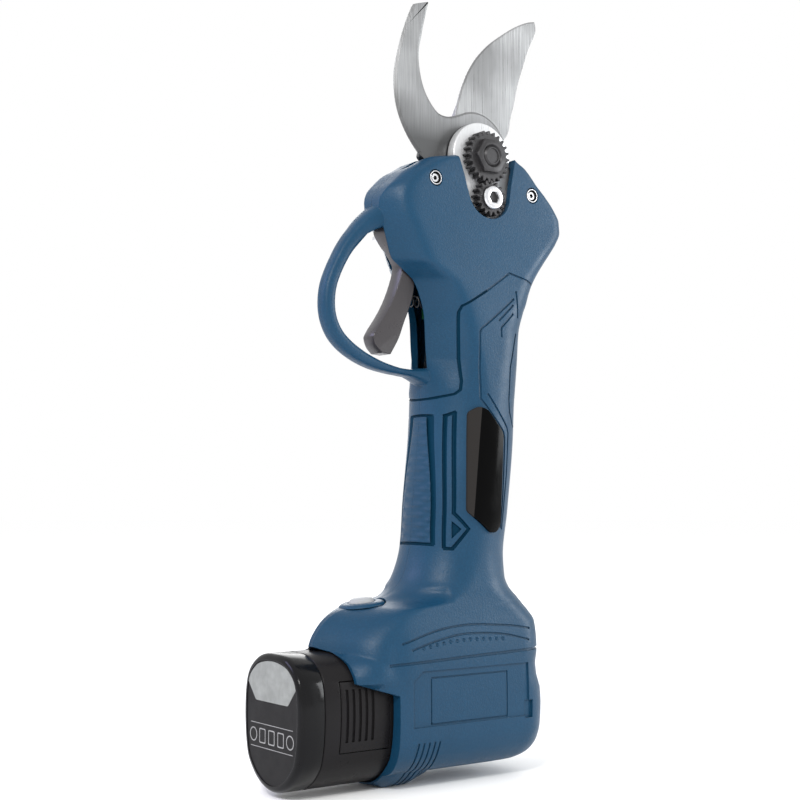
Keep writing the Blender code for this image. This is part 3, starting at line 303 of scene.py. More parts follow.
MATERIALS["blue_plastic"] = moulded("blue_moulded", BLUE, 0.36, fleck=1.6, specular=0.24)
# Painted shade for groove floors: a darker copy of the blue plastic.
MATERIALS["groove"] = moulded("blue_groove_painted_shade", (0.0015, 0.024, 0.05), 0.6, specular=0.05)
MATERIALS["knurl"] = knurled("blue_knurled", BLUE)
MATERIALS["black_gloss"] = glossy("battery_gloss", (0.004, 0.004, 0.0045), 0.16)
MATERIALS["black_plastic"] = moulded("black_satin", (0.0075, 0.0068, 0.0074), 0.3, 2200, 0.00003,
                                     fleck=1.5, specular=0.16)
MATERIALS["trigger_grey"] = moulded("trigger_grey", (0.034, 0.031, 0.0335), 0.3, 2400, 0.00004, fleck=1.3,
                                   specular=0.5)
# The blade's colour carries painted shade, darker towards the pivot.
MATERIALS["blade_steel"] = machined("blade_brushed_painted_shade", (0.42, 0.425, 0.43), 0.3, (2600, 900, 45), (0, 0.35, 0),
                                    drift=0.4, broad=0.5, root_painted_shade=(0.225, 0.245))
MATERIALS["aluminium"] = machined("frame_aluminium", (0.66, 0.67, 0.68), 0.3, (1600, 1600, 120), (0, 1.2, 0),
                                  metallic=0.45)
MATERIALS["black_oxide"] = machined("black_oxide", (0.042, 0.041, 0.043), 0.4, (700, 700, 700), depth=0.00004,
                                    metallic=0.55, drift=0.3)
MATERIALS["gear_steel"] = machined("gear_steel", (0.42, 0.42, 0.43), 0.34, (900, 900, 900))
MATERIALS["screw_steel"] = machined("screw_bright", (0.74, 0.75, 0.77), 0.2, (1100, 1100, 1100), depth=0.00001)
MATERIALS["copper"] = machined("copper_wound", (0.65, 0.27, 0.13), 0.38, (200, 200, 3000))
MATERIALS["magnet"] = plain("sintered_magnet", (0.1, 0.1, 0.11), 0.5, 0.4)
MATERIALS["board_green"] = plain("board_resist", (0.015, 0.11, 0.045), 0.38, 0.0, 500)
MATERIALS["cell_wrap"] = plain("cell_wrap", (0.04, 0.27, 0.33), 0.28, 0.0, 300, 0.00001)
MATERIALS["red_wire"] = plain("wire_red", (0.5, 0.02, 0.02), 0.4)
MATERIALS["black_wire"] = plain("wire_black", (0.02, 0.02, 0.02), 0.4)
MATERIALS["button_grey"] = moulded("button_silver", (0.34, 0.35, 0.36), 0.3, 2000, 0.00004, fleck=1.3)
MATERIALS["label_black"] = moulded("label_face", (0.006, 0.0056, 0.0062), 0.4, 1800, 0.00001, 0.0, 1.2, 0.12)
MATERIALS["label_silver"] = plain("label_silver", (0.22, 0.23, 0.22), 0.5, 0.0, 2400, 0.00001)
MATERIALS["label_grey"] = plain("label_grey", (0.26, 0.26, 0.26), 0.5, 0.0, 2400, 0.00001)
# Painted shade for the recesses in the screw heads.
MATERIALS["recess_painted_shade"] = plain("recess_painted_shade", (0.012, 0.012, 0.013), 0.5, 0.4)


def badge_with_painted_reflection():
    """Polished black plate with a painted reflection: its lighter tone is parted from the black by one straight slanted
    line.
    """
    n = Nodes("badge_gloss_painted_reflection")
    split = n.add("ShaderNodeSeparateXYZ")
    n.link(n.place, split.inputs[0])
    lean = n.add("ShaderNodeMath", operation="MULTIPLY_ADD")
    n.link(split.outputs["Z"], lean.inputs[0])
    lean.inputs[1].default_value = -BADGE_REFLECTION_SLOPE
    n.link(split.outputs["X"], lean.inputs[2])
    side = n.spread(lean.outputs[0], 0, 1, BADGE_REFLECTION_LINE - 0.0001, BADGE_REFLECTION_LINE + 0.0001)
    # The lighter tone is a painted reflection; the other is the plate's black.
    base = n.mix(side, (0.024, 0.022, 0.021), (0.0008, 0.0008, 0.0009))
    marks = n.noise(1.0, 4, 0.65, n.mapped((260, 40, 90), (0.3, 0.2, 0.1)))
    return n.set(Base_Color=base, Roughness=n.spread(marks, 0.08, 0.2), Normal=n.soft_edge(0.0003),
                 Specular_IOR_Level=0.06)


# Line that parts the badge's painted reflection from its black: x = line + slope * z with the two numbers below, metres
# in the world.
BADGE_REFLECTION_SLOPE = 0.098
BADGE_REFLECTION_LINE = 0.0012
MATERIALS["badge"] = badge_with_painted_reflection()


# ---------------------------------------------------------------- mesh tools

def link(name, mesh):
    thing = bpy.data.objects.new(name, mesh)
    bpy.context.scene.collection.objects.link(thing)
    return thing


def solid(name, points, faces):
    """Object from points in design millimetres, with its faces turned outwards."""
    mesh = bpy.data.meshes.new(name)
    places = np.asarray(points, float) * MM
    places[:, 2] += LIFT
    mesh.from_pydata(places.tolist(), [], faces)
    bm = bmesh.new()
    bm.from_mesh(mesh)
    bmesh.ops.recalc_face_normals(bm, faces=bm.faces)
    bm.to_mesh(mesh)
    bm.free()
    return link(name, mesh)


def skin(name, rings):
    """Loft through rings of equal length (K x N x 3); each cap is a fan round its middle."""
    rings = np.asarray(rings, float)
    count, size, _ = rings.shape
    points = rings.reshape(-1, 3)
    faces = []
    for i in range(count - 1):
        low, high = i * size, (i + 1) * size
        for j in range(size):
            k = (j + 1) % size
            faces.append((low + j, low + k, high + k, high + j))
    points = np.concatenate([points, rings[:1].mean(axis=1), rings[-1:].mean(axis=1)])
    total = count * size
    for j in range(size):
        k = (j + 1) % size
        faces.append((j, total, k))
        faces.append((total - size + j, total - size + k, total + 1))
    return solid(name, points, faces)


def prism(name, outline, low, high, place=None):
    """Outline in XZ drawn from y = low to y = high, or in a frame's XY from z = low to high."""
    if place is None:
        rings = [[(x, y, z) for x, z in outline] for y in (low, high)]
    else:
        rings = [[place @ Vector((x, y, z)) for x, y in outline] for z in (low, high)]
    size = len(outline)
    points = np.array([tuple(p) for ring in rings for p in ring])
    faces = [(j, (j + 1) % size, size + (j + 1) % size, size + j) for j in range(size)]
    faces += [tuple(range(size)), tuple(range(size, 2 * size))]
    return solid(name, points, faces)


def spun(name, profile, place, steps=64, ring=False):
    """Turned piece: profile holds (radius, height) and `place` maps its axis into the design frame."""
    points, rows = [], []
    for radius, height in profile:
        if radius < 1e-6:
            points.append(place @ Vector((0, 0, height)))
            rows.append([len(points) - 1] * steps)
            continue
        start = len(points)
        for j in range(steps):
            angle = 2 * math.pi * j / steps
            points.append(place @ Vector((radius * math.cos(angle), radius * math.sin(angle), height)))
        rows.append(list(range(start, start + steps)))
    faces = []
    pairs = list(zip(rows, rows[1:]))
    if ring:
        pairs.append((rows[-1], rows[0]))
    for low, high in pairs:
        for j in range(steps):
            k = (j + 1) % steps
            face = [low[j], low[k], high[k], high[j]]
            face = list(dict.fromkeys(face))
            if len(face) > 2:
                faces.append(tuple(face))
    return solid(name, np.array([tuple(p) for p in points]), faces)


def box(name, low, high):
    (x0, y0, z0), (x1, y1, z1) = low, high
    return prism(name, [(x0, z0), (x1, z0), (x1, z1), (x0, z1)], y0, y1)


def rod(name, radius, start, end, steps=40):
    start, end = Vector(start), Vector(end)
    turn = (end - start).to_track_quat("Z", "Y").to_matrix().to_4x4()
    place = Matrix.Translation(start) @ turn
    length = (end - start).length
    return spun(name, ((0, 0), (radius, 0), (radius, length), (0, length)), place, steps)


def baked(thing):
    """Turns an object's modifiers into mesh."""
    bpy.context.view_layer.update()
    graph = bpy.context.evaluated_depsgraph_get()
    mesh = bpy.data.meshes.new_from_object(thing.evaluated_get(graph))
    thing.modifiers.clear()
    thing.data = mesh
    return thing


def combine(thing, tool, operation="DIFFERENCE"):
    """Boolean with a closed tool, baked at once; the tool is removed."""
    made = thing.modifiers.new("combine", "BOOLEAN")
    made.object = tool
    made.operation = operation
    made.solver = "MANIFOLD"
    baked(thing)
    if not thing.data.polygons:
        raise RuntimeError("nothing left of " + thing.name + " after " + tool.name)
    bpy.data.objects.remove(tool)
    return thing


def twin(thing, name):
    return link(name, thing.data.copy())


def merged(name, things):
    """Unites overlapping closed tools into one."""
    first = things[0]
    for other in things[1:]:
        combine(first, other, "UNION")
    first.name = name
    return first


def bevel(thing, width, segments=2, angle=30):
    made = thing.modifiers.new("bevel", "BEVEL")
    made.width = width * MM
    made.segments = segments
    made.limit_method = "ANGLE"
    made.angle_limit = math.radians(angle)
    made.harden_normals = False
    return baked(thing)


def smooth(thing, angle=32):
    thing.data.shade_smooth()
    thing.data.set_sharp_from_angle(angle=math.radians(angle))
    return thing


def piece(thing, body, slot, *nodes, finish=None, angle=32, extra=()):
    """Finishes a piece: shading, material, the body it rides on and the CAD nodes it stands for."""
    thing.data.materials.clear()
    thing.data.materials.append(MATERIALS[finish or slot])
    for other in extra:
        thing.data.materials.append(MATERIALS[other])
    smooth(thing, angle)
    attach(thing, body)
    if nodes:
        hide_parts(*nodes)
    return thing


# ---------------------------------------------------------------- outlines

def arc(centre, radius, first, last, steps):
    angles = np.radians(np.linspace(first, last, steps + 1))
    return [(centre[0] + radius * math.cos(a), centre[1] + radius * math.sin(a)) for a in angles]


def circle(centre, radius, steps=48):
    return arc(centre, radius, 0, 360 - 360 / steps, steps - 1)


def curve_through(points, step=0.8, closed=False, corners=()):
    """Catmull-Rom curve through 2D points; points listed in `corners` stay sharp."""
    pts = [np.array(p, float) for p in points]
    count = len(pts)
    spans = count if closed else count - 1
    out = []
    for i in range(spans):
        p1, p2 = pts[i], pts[(i + 1) % count]
        p0 = pts[i - 1] if (i > 0 or closed) and i not in corners else p1
        after = (i + 2) % count if closed else min(i + 2, count - 1)
        p3 = pts[after] if (i + 1) % count not in corners else p2
        length = np.linalg.norm(p2 - p1)
        steps = max(1, round(length / step))
        m1 = m2 = p2 - p1
        if i not in corners:
            m1 = (p2 - p0) / 2 * length / max(1e-6, (np.linalg.norm(p1 - p0) + length) / 2)
        if (i + 1) % count not in corners:
            m2 = (p3 - p1) / 2 * length / max(1e-6, (np.linalg.norm(p3 - p2) + length) / 2)
        for j in range(steps):
            t = j / steps
            value = ((2 * t**3 - 3 * t**2 + 1) * p1 + (t**3 - 2 * t**2 + t) * m1
                     + (3 * t**2 - 2 * t**3) * p2 + (t**3 - t**2) * m2)
            out.append(tuple(value))
    if not closed:
        out.append(tuple(pts[-1]))
    return out


def ribbon(points, width):
    """Closed outline of a line of the given width along points, with mitred corners."""
    pts = [Vector(p) for p in points]
    left, right = [], []
    for i, here in enumerate(pts):
        before = (here - pts[i - 1]).normalized() if i else None
        after = (pts[i + 1] - here).normalized() if i + 1 < len(pts) else None
        before, after = before or after, after or before
        along = (before + after).normalized()
        reach = width / 2 / max(0.5, along.dot(after))
        across = Vector((-along.y, along.x)) * reach
        left.append(tuple(here + across))
        right.append(tuple(here - across))
    return left + right[::-1]


def tool_point(u, v, w):
    c, s = math.cos(LEAN), math.sin(LEAN)
    return AXIS_FOOT + u * c + w * s, v, w * c - u * s


def in_tool(points):
    """Outline in the tool frame's (u, w), given in XZ."""
    return [tool_point(u, 0, w)[::2] for u, w in points]


# ---------------------------------------------------------------- housing surface

# Head and handle sections up the tool axis: w, left edge, right edge, half thickness, radius.
UPPER = ((84, -20.0, 20.0, 20.0, 19.9), (100, -20.3, 20.5, 20.4, 20.3),
         (130, -20.4, 20.6, 20.5, 20.4), (140, -20.8, 19.8, 20.4, 19.8), (148, -21.9, 19.2, 20.2, 18.5),
         (158, -24.0, 18.6, 19.6, 16.5), (170.5, -26.0, 18.1, 18.6, 14.5), (178, -28.9, 19.3, 17.9, 13.0),
         (183.5, -32.6, 20.7, 17.2, 11.5), (187, -38.4, 21.3, 16.8, 10.5), (190, -43.4, 22.3, 16.4, 10.0),
         (195, -45.8, 24.6, 15.7, 9.0), (201, -48.3, 28.2, 14.9, 8.0), (206.5, -50.7, 31.7, 14.2, 7.0),
         (211, -51.0, 34.3, 13.7, 6.4), (215.5, -49.2, 35.8, 13.3, 6.0), (219.5, -46.2, 35.2, 13.1, 6.0),
         (224, -42.2, 31.9, 13.0, 6.0), (228, -36.8, 27.3, 13.0, 6.0), (231.5, -31.8, 22.4, 13.0, 6.0),
         (234, -23.5, 18.8, 13.0, 5.0), (236.5, -17.0, 14.8, 13.0, 4.0), (239, -11.0, 8.6, 13.0, 3.0))

# Base sections: z, front edge, back edge, half width, front radius, back radius.
BASE = ((3.4, -46, 32.5, 13.0, 8, 8), (4.6, -50, 38.6, 17.0, 8, 10), (7.5, -50, 43.0, 20.6, 8, 11),
        (11.5, -50, 45.2, 23.0, 8, 12), (17, -50, 45.8, 24.4, 8, 12), (25, -50, 46.0, 24.8, 9, 12),
        (31, -50, 45.6, 24.8, 10, 12), (36, -50, 44.0, 24.7, 11, 12), (40, -49.9, 43.6, 24.6, 12, 12),
        (45, -49.6, 44.6, 24.3, 15, 12), (51, -48.3, 44.9, 23.6, 18, 12), (56, -45.4, 45.2, 22.8, 19, 13),
        (60, -41.0, 43.7, 22.0, 20, 15), (63, -34.0, 42.0, 21.5, 20.5, 17), (65, -20.5, 40.7, 21.2, 20.5, 18),
        (66.6, -15.6, 39.6, 21.0, 20.5, 19), (69, -11.5, 37.6, 20.8, 20.3, 19.5), (73, -8.0, 36.2, 20.4, 20, 20))

# Trigger guard: x, z of its centre line, thickness in its plane, half width along Y.
GUARD = ((-10, 212, 13, 6.5), (-18, 209.5, 11, 6.0), (-24.5, 205.8, 8.6, 5.2), (-30.3, 200.8, 6.4, 4.2),
         (-34.3, 196.0, 5.8, 3.8), (-37.2, 191.2, 5.5, 3.6), (-39.6, 186.4, 5.5, 3.5), (-41.4, 181.6, 5.5, 3.5),
         (-42.2, 176.8, 5.5, 3.5), (-42.1, 172, 5.5, 3.5), (-40.9, 167.4, 5.5, 3.5), (-38.3, 163, 5.5, 3.5),
         (-34.2, 159.3, 5.4, 3.5), (-28.6, 156.0, 5.0, 3.5), (-22.6, 153.6, 4.4, 3.5), (-16.4, 152.0, 3.6, 3.5),
         (-10.6, 151.0, 2.9, 3.6), (-5.6, 150.5, 3.0, 4.0), (-1.6, 150.0, 5.0, 5.2), (2.5, 149.4, 8.0, 6.4))

NOTCH = (arc((25.2, 222.2), 10.4, 195, 345, 36) + [(36.6, 228.0), (38.3, 236.0), (38.6, 252.0)]
         + [(9.0, 252.0), (9.6, 236.0), (12.6, 228.0)])
OPENING = ((-90, -12), (-26.0, -12), (-26.2, 33.0), (-42.2, 38.0), (-42.8, 44.5), (-44.6, 48.2), (-48.4, 49.8),
           (-90, 49.8))
SLOT = ((-30.5, 196.5), (-26.9, 201.4), (-20.5, 205.0), (-4.0, 206.0), (2.0, 190.0), (5.0, 172.0),
        (5.0, 152.5), (-8.0, 152.5), (-12.0, 172.0), (-22.0, 186.0))
HEAD_SCREWS = ((-1.2, 224.6), (47.3, 223.8))
SHELL_SCREWS = ((45.0, 203.0), (30.0, 99.0), (21.0, 60.0), (-17.5, 58.0))
SCREW_HOLE_R, SCREW_HEAD_R, SCREW_BOSS_R = 1.7, 2.8, 3.4

# Battery section: half outline (|y|, z), from top to bottom.
PACK_HALF = ((0, 48.3), (5.5, 48.1), (9.8, 47.0), (14.4, 44.2), (17.6, 40.4), (19.2, 35.0),
             (19.7, 28.0), (19.5, 22.0), (18.8, 16.2), (17.2, 10.6), (14.0, 6.4), (10.2, 3.2),
             (5.2, 0.8), (0, 0))
PACK_FRONT, PACK_SEAM, PACK_REAR = -64.65, -54.6, 39.4
KEEL_END, KEEL_TOP = -10.8, 5.6
LATCH_X, LATCH_Z = (-48.0, -27.6), (14.6, 38.9)
COLLAR_DROP = 1.8


def half_ring(x0, x1, half, near, far, count):
    """Points of a rounded rectangle's +Y half, evenly spaced, from its front to its back."""
    room = (x1 - x0) / 2
    near, far = min(near, half - 0.01, room), min(far, half - 0.01, room)
    runs = (half - near, near * math.pi / 2, x1 - far - x0 - near, far * math.pi / 2, half - far)
    places = []
    for t in np.linspace(0, sum(runs), count):
        if t <= runs[0]:
            places.append((x0, t))
            continue
        t -= runs[0]
        if t <= runs[1]:
            q = t / near
            places.append((x0 + near - near * math.cos(q), half - near + near * math.sin(q)))
            continue
        t -= runs[1]
        if t <= runs[2]:
            places.append((x0 + near + t, half))
            continue
        t -= runs[2]
        if t <= runs[3]:
            q = t / far
            places.append((x1 - far + far * math.sin(q), half - far + far * math.cos(q)))
            continue
        places.append((x1, max(0.0, half - far - (t - runs[3]))))
    return np.array(places)


def full_ring(*args):
    half = half_ring(*args)
    back = half[-2:0:-1] * (1, -1)
    return np.concatenate([half, back])


def key_rings(inset, upper, base, count, front=None):
    levels, rings = [], []
    for z, x0, x1, half, near, far in base:
        near, far, start = max(near - inset, 0.8), max(far - inset, 0.8), x0 + inset
        if front is not None:
            start, near = front, 2.0
        flat = full_ring(start, x1 - inset, half - inset, near, far, count)
        levels.append(z)
        rings.append(np.column_stack([flat, np.full(len(flat), z)]))
    c, s = math.cos(LEAN), math.sin(LEAN)
    for w, x0, x1, half, radius in upper:
        radius = max(radius - inset, 0.8)
        flat = full_ring(x0 + inset, x1 - inset, half - inset, radius, radius, count)
        levels.append(w)
        rings.append(np.column_stack([AXIS_FOOT + flat[:, 0] * c + w * s, flat[:, 1], w * c - flat[:, 0] * s]))
    return np.array(levels, float), np.array(rings)


def refined(levels, rings, step):
    """Cubic through the key rings that never overshoots them, with rings about `step` apart."""
    gap = np.diff(levels)[:, None, None]
    slope = (rings[1:] - rings[:-1]) / gap
    tangent = np.zeros_like(rings)
    tangent[0], tangent[-1] = slope[0], slope[-1]
    for i in range(1, len(levels) - 1):
        a, b, ga, gb = slope[i - 1], slope[i], gap[i - 1], gap[i]
        first, second = 2 * gb + ga, gb + 2 * ga
        with np.errstate(divide="ignore", invalid="ignore"):
            mean = (first + second) / (first / a + second / b)
        tangent[i] = np.where(a * b > 0, mean, 0)
    out = []
    for i in range(len(levels) - 1):
        move = np.linalg.norm(rings[i + 1] - rings[i], axis=1).max()
        steps = max(1, math.ceil(move / step))
        for j in range(steps):
            t = j / steps
            out.append((2 * t**3 - 3 * t**2 + 1) * rings[i] + (t**3 - 2 * t**2 + t) * gap[i] * tangent[i]
                       + (3 * t**2 - 2 * t**3) * rings[i + 1] + (t**3 - t**2) * gap[i] * tangent[i + 1])
    out.append(rings[-1])
    return np.array(out)


def grid_normals(rings):
    along = np.roll(rings, -1, axis=1) - np.roll(rings, 1, axis=1)
    up = np.gradient(rings, axis=0)
    normal = np.cross(along, up)
    normal /= np.maximum(np.linalg.norm(normal, axis=2, keepdims=True), 1e-9)
    middle = rings.mean(axis=1, keepdims=True)
    if (normal * (rings - middle)).sum() < 0:
        normal = -normal
    return normal


def bell(value, centre, width):
    return np.exp(-((value - centre) / width) ** 2)


def drawn_in(rings, inset=0.0):
    """Draws the hood in towards the battery: a narrow nose above it and a lip close to its sides."""
    rings = rings.copy()
    x, y, z = rings[..., 0], rings[..., 1], rings[..., 2]
    nose = x.min(axis=1, keepdims=True)
    high, wide = np.array(PACK_HALF)[:7, 1], np.array(PACK_HALF)[:7, 0]
    pack = np.interp(z, high[::-1], wide[::-1])
    lip = np.interp(z, (33.0, 38.0), (-26.2, -42.2))
    close = pack + np.interp(z, (33, 38), (1.2, 2.6)) + 0.85 * np.clip(x - lip, 0, None) - inset
    pointed = (x - nose + 0.9) / 0.75 - inset * 0.6
    limit = np.where(z > 48.3, pointed, np.maximum(close, pointed))
    blend = np.clip((z - 48.3) / 2.5, 0, 1)
    limit = np.where(z > 48.3, np.maximum(pointed, close * (1 - blend)), limit)
    limit = np.maximum(limit, 0.8)
    # Handle and head: the front runs to a narrow edge beside the trigger.
    up = (x - AXIS_FOOT) * math.sin(LEAN) + z * math.cos(LEAN)
    blunt = np.interp(up, (206, 212, 219, 230), (3.2, 4.0, 7.0, 8.0))
    # The far half stands back there, so that the trigger's edge shows in front of it. The CAD shells
    # mirror each other instead, and the trigger pin's far end shows through this one.
    blunt = blunt - np.where(y > 0, np.interp(up, (184, 190, 196, 202, 208), (0, 5.6, 5.0, 2.4, 0)), 0)
    limit = np.where(z > 90, np.maximum((x - nose + blunt) / 0.75 - inset * 0.6, 0.8), limit)
    share = np.clip((70 - z) / 6, 0, 1) * (z < 72) * (x < 0)
    share = np.where(z > 90, np.interp(up, (143, 155, 232, 238), (0, 1, 1, 0)), share)
    size = np.abs(y)
    held = size / (1 + (size / limit) ** 8) ** 0.125
    rings[..., 1] = np.sign(y) * (size + (held - size) * share)
    return rings


def body_rings(depth=0.0, step=1.1, count=86):
    """Rings of the base, handle and head, moved inwards by depth."""
    rings = drawn_in(refined(*key_rings(0.0, UPPER, BASE, count), step))
    normal = grid_normals(rings)
    x, y, z = rings[..., 0], rings[..., 1], rings[..., 2]
    # The hood's cheek beside the battery stands out, with a valley behind it.
    cheek = bell(x, -37.5, 5.5) * bell(z, 47.0, 9.0) * 0.9
    cheek = cheek - bell(x, -27.5, 4.0) * bell(z, 46.0, 10.0) * 0.7
    cheek *= np.clip((np.abs(y) - 8) / 8, 0, 1)
    return rings + normal * (cheek - depth)[..., None]


def pack_curve(offset=0.0, step=1.2):
    """Closed section of the battery, moved outwards by offset: N x (y, z)."""
    half = [(-y, z) for y, z in PACK_HALF]
    ring = half + [(y, z) for y, z in PACK_HALF[-2:0:-1]]
    smooth_ring = np.array(curve_through(ring, step, closed=True))
    along = np.roll(smooth_ring, -1, axis=0) - np.roll(smooth_ring, 1, axis=0)
    outward = np.column_stack([along[:, 1], -along[:, 0]])
    outward /= np.linalg.norm(outward, axis=1, keepdims=True)
    if (outward * (smooth_ring - (0, 25))).sum() < 0:
        outward = -outward
    return smooth_ring + outward * offset


def pack_skin(name, rows, low=None):
    """Loft of the battery's section along X; rows hold (x, offset)."""
    rings = []
    for i, (x, offset) in enumerate(rows):
        flat = pack_curve(offset)
        if low:
            flat[:, 1] = np.maximum(flat[:, 1], low[i])
        rings.append(np.column_stack([np.full(len(flat), x), flat]))
    return skin(name, rings)


def guard_skin(name, depth=0.0):
    rows = np.array(GUARD)
    path = np.array(curve_through([(x, z) for x, z, _, _ in GUARD], 0.9))
    reach = np.concatenate([[0], np.cumsum(np.linalg.norm(np.diff(path, axis=0), axis=1))])
    keys = [reach[np.argmin(np.linalg.norm(path - row[:2], axis=1))] for row in rows]
    thick = np.interp(reach, keys, rows[:, 2]) / 2 - depth
    half = np.interp(reach, keys, rows[:, 3]) - depth
    along = np.gradient(path, axis=0)
    along /= np.linalg.norm(along, axis=1, keepdims=True)
    angles = np.linspace(0, 2 * math.pi, 721)
    bulge = 2 / 2.7
    section = np.column_stack([np.sign(np.cos(angles)) * np.abs(np.cos(angles)) ** bulge,
                               np.sign(np.sin(angles)) * np.abs(np.sin(angles)) ** bulge])
    around = np.concatenate([[0], np.cumsum(np.linalg.norm(np.diff(section, axis=0), axis=1))])
    spots = np.linspace(0, around[-1], 48, endpoint=False)
    across, side = np.interp(spots, around, section[:, 0]), np.interp(spots, around, section[:, 1])
    rings = []
    for i in range(len(path)):
        ring = np.column_stack([path[i, 0] + along[i, 1] * across * thick[i], half[i] * side,
                                path[i, 1] - along[i, 0] * across * thick[i]])
        rings.append(ring)
    return skin(name, rings)


def form(depth=0.0):
    """The housing's outer form, moved inwards by depth, as one closed body."""
    made = skin(f"form_{depth}", body_rings(depth))
    combine(made, guard_skin("guard", depth), "UNION")
    low = [-COLLAR_DROP + depth] * 3 + [1.4 + depth, -20]
    rows = ((-27 + depth, 0.9 - depth), (-22.4, 3.3 - depth), (-12 - depth, 3.2 - depth),
            (-5 - depth, 1.0 - depth), (-depth, -6 - depth))
    combine(made, pack_skin("collar", rows, low=low), "UNION")
    return made


# ---------------------------------------------------------------- moulded lines

def line(points, width, tool=True):
    return ribbon(in_tool(points) if tool else points, width)


# Depth of each family of moulded grooves, the outlines that it cuts in XZ, and whether its floor gets painted shade.
def groove_families():
    step_edge = [(-5, 139.6), (0.9, 140.7), (3.1, 141.4), (6.4, 142.3), (8.0, 143.9), (8.5, 147.2), (7.9, 160.0),
                 (7.6, 173.6), (8.4, 175.8), (20.5, 182.8)]
    step_back = [(20.1, 182.55), (32.4, 190.6), (42.7, 188.2), (50.0, 186.2)]
    inner = [(33.6, 180.5), (25.3, 174.2), (18.8, 169.3), (16.2, 167.6), (15.4, 166.0), (14.7, 152.5), (14.9, 140.6),
             (20.1, 134.4), (26.0, 128.1), (26.6, 125.6), (26.1, 102.6), (25.0, 91.6)]
    outer = [(17.9, 142.6), (23.0, 135.9), (28.0, 130.2), (29.0, 128.0), (28.5, 111.9), (26.1, 91.1)]
    back_line = [(35.0, 183.6), (35.7, 173.1)]
    back_lower = [(34.7, 167.0), (30.3, 153.4), (29.5, 141.5), (30.1, 136.2), (33.1, 131.2), (37.0, 130.0)]
    chevron = [(32.8, 174.6), (26.1, 168.6), (25.9, 164.8)]
    chevron_2 = [(33.0, 178.0), (25.0, 171.2)]
    fine = [line(p, 0.8, False) for p in (step_back, inner, outer, back_line, back_lower, chevron, chevron_2)]

    pad = [line([(-19.6, 133.0), (-18.35, 110.5), (-17.05, 84.2)], 1.0),
           line([(-26, 134.3), (-19.3, 132.9)], 1.1), line([(-26, 84.4), (-16.8, 84.3)], 1.2)]
    panel = [line([(-16.9, 133.6), (-15.85, 110.7), (-14.35, 83.2)], 1.05),
             line([(-14.7, 134.8), (-13.6, 115.6), (-12.5, 96.6), (-7.2, 91.2), (-12.0, 83.3), (-14.6, 83.2)], 1.25),
             line([(-17.3, 132.9), (-14.2, 134.8)], 1.2)]
    triangle = in_tool([(-12.9, 93.6), (-9.6, 90.9), (-12.4, 87.0)])

    arches = []
    for points in ([(-24.5, 50.9), (-13.25, 54), (-4.25, 55.7), (7.25, 56.4), (17.75, 55.8), (28, 54.9), (35.75, 53.6)],
                   [(-20.5, 48.6), (-13.25, 50.5), (-0.25, 52.9), (8.75, 53.2), (22.75, 52.1), (34.75, 49.4)]):
        arches.append(ribbon(curve_through(points, 2.0), 0.7))
    belt = [line([(-29.95, 43.7), (0, 44.8), (60, 46.6)], 1.0, False)]
    side_frame = [[(-20.4, 21.2), (33.6, 21.2), (33.6, 41.0), (-16.4, 41.0), (-20.4, 37.6)]]
    plateau = [(-12.25, 21.9), (23.25, 21.9), (23.25, 38.4), (-12.25, 38.4)]
    plateau_edge = [line(plateau + plateau[:1], 0.5, False)]
    tab = [[(31.75, 20.4), (35.45, 20.4), (35.45, 27.0), (31.75, 27.0)]]
    ribs = [ribbon(curve_through([(x + 0.9, 15.6), (x + 0.2, 8.5), (x, 1.0), (x + 0.2, -3.0)], 2.5), 0.75)
            for x in (-18.6, -16.2, -13.8, -11.4, -9.2)]
    back_step = [[(41.2, 31.6), (60, 31.6), (60, 41.2), (42.2, 41.2)]]
    return ((0.5, fine + arches + ribs, False), (0.6, [line(step_edge, 0.9, False)], True),
            (0.6, belt + side_frame, False), (0.8, pad, True), (1.5, back_step, False),
            (0.95, panel + [triangle], True), (1.1, tab, False), (0.95, plateau_edge, False))


# Slot 0 is the blue plastic, slot 1 the painted groove shade.
def add_plastic_and_groove_shade(thing):
    for finish in ("blue_plastic", "groove"):
        thing.data.materials.append(MATERIALS[finish])


def carve_lines(blank):
    add_plastic_and_groove_shade(blank)
    for depth, outlines, shaded_floor in groove_families():
        tools = [prism(f"line_{i}", outline, -45, 45) for i, outline in enumerate(outlines)]
        tool = merged("lines", tools)
        combine(tool, form(depth))
        add_plastic_and_groove_shade(tool)
        # Faces of the tool become groove floors; those of shaded families get the painted shade.
        tool.data.polygons.foreach_set("material_index", [int(shaded_floor)] * len(tool.data.polygons))
        combine(blank, tool)


def carve_dimples(blank):
    """Row of small dimples between the two arches on each side."""
    tree = BVHTree.FromPolygons([v.co for v in blank.data.vertices], [p.vertices for p in blank.data.polygons])
    places = []
    for side in (-1, 1):
        for i in range(13):
            x = -15.5 + 3.1 * i
            z = 51.2 - abs(i - 7) * 0.12 - max(0, 4 - i) * 0.3
            start = Vector((x * MM, side * 0.06, z * MM + LIFT))
            hit = tree.ray_cast(start, Vector((0, -side, 0)))[0]
            if hit is not None:
                places.append((x, hit.y / MM + side * 0.35, z))
    bm = bmesh.new()
    for x, y, z in places:
        turn = Matrix.Translation((x * MM, y * MM, z * MM + LIFT))
        bmesh.ops.create_icosphere(bm, subdivisions=3, radius=0.85 * MM, matrix=turn)
    mesh = bpy.data.meshes.new("dimples")
    bm.to_mesh(mesh)
    bm.free()
    combine(blank, link("dimples", mesh))


# ---------------------------------------------------------------- housing pieces

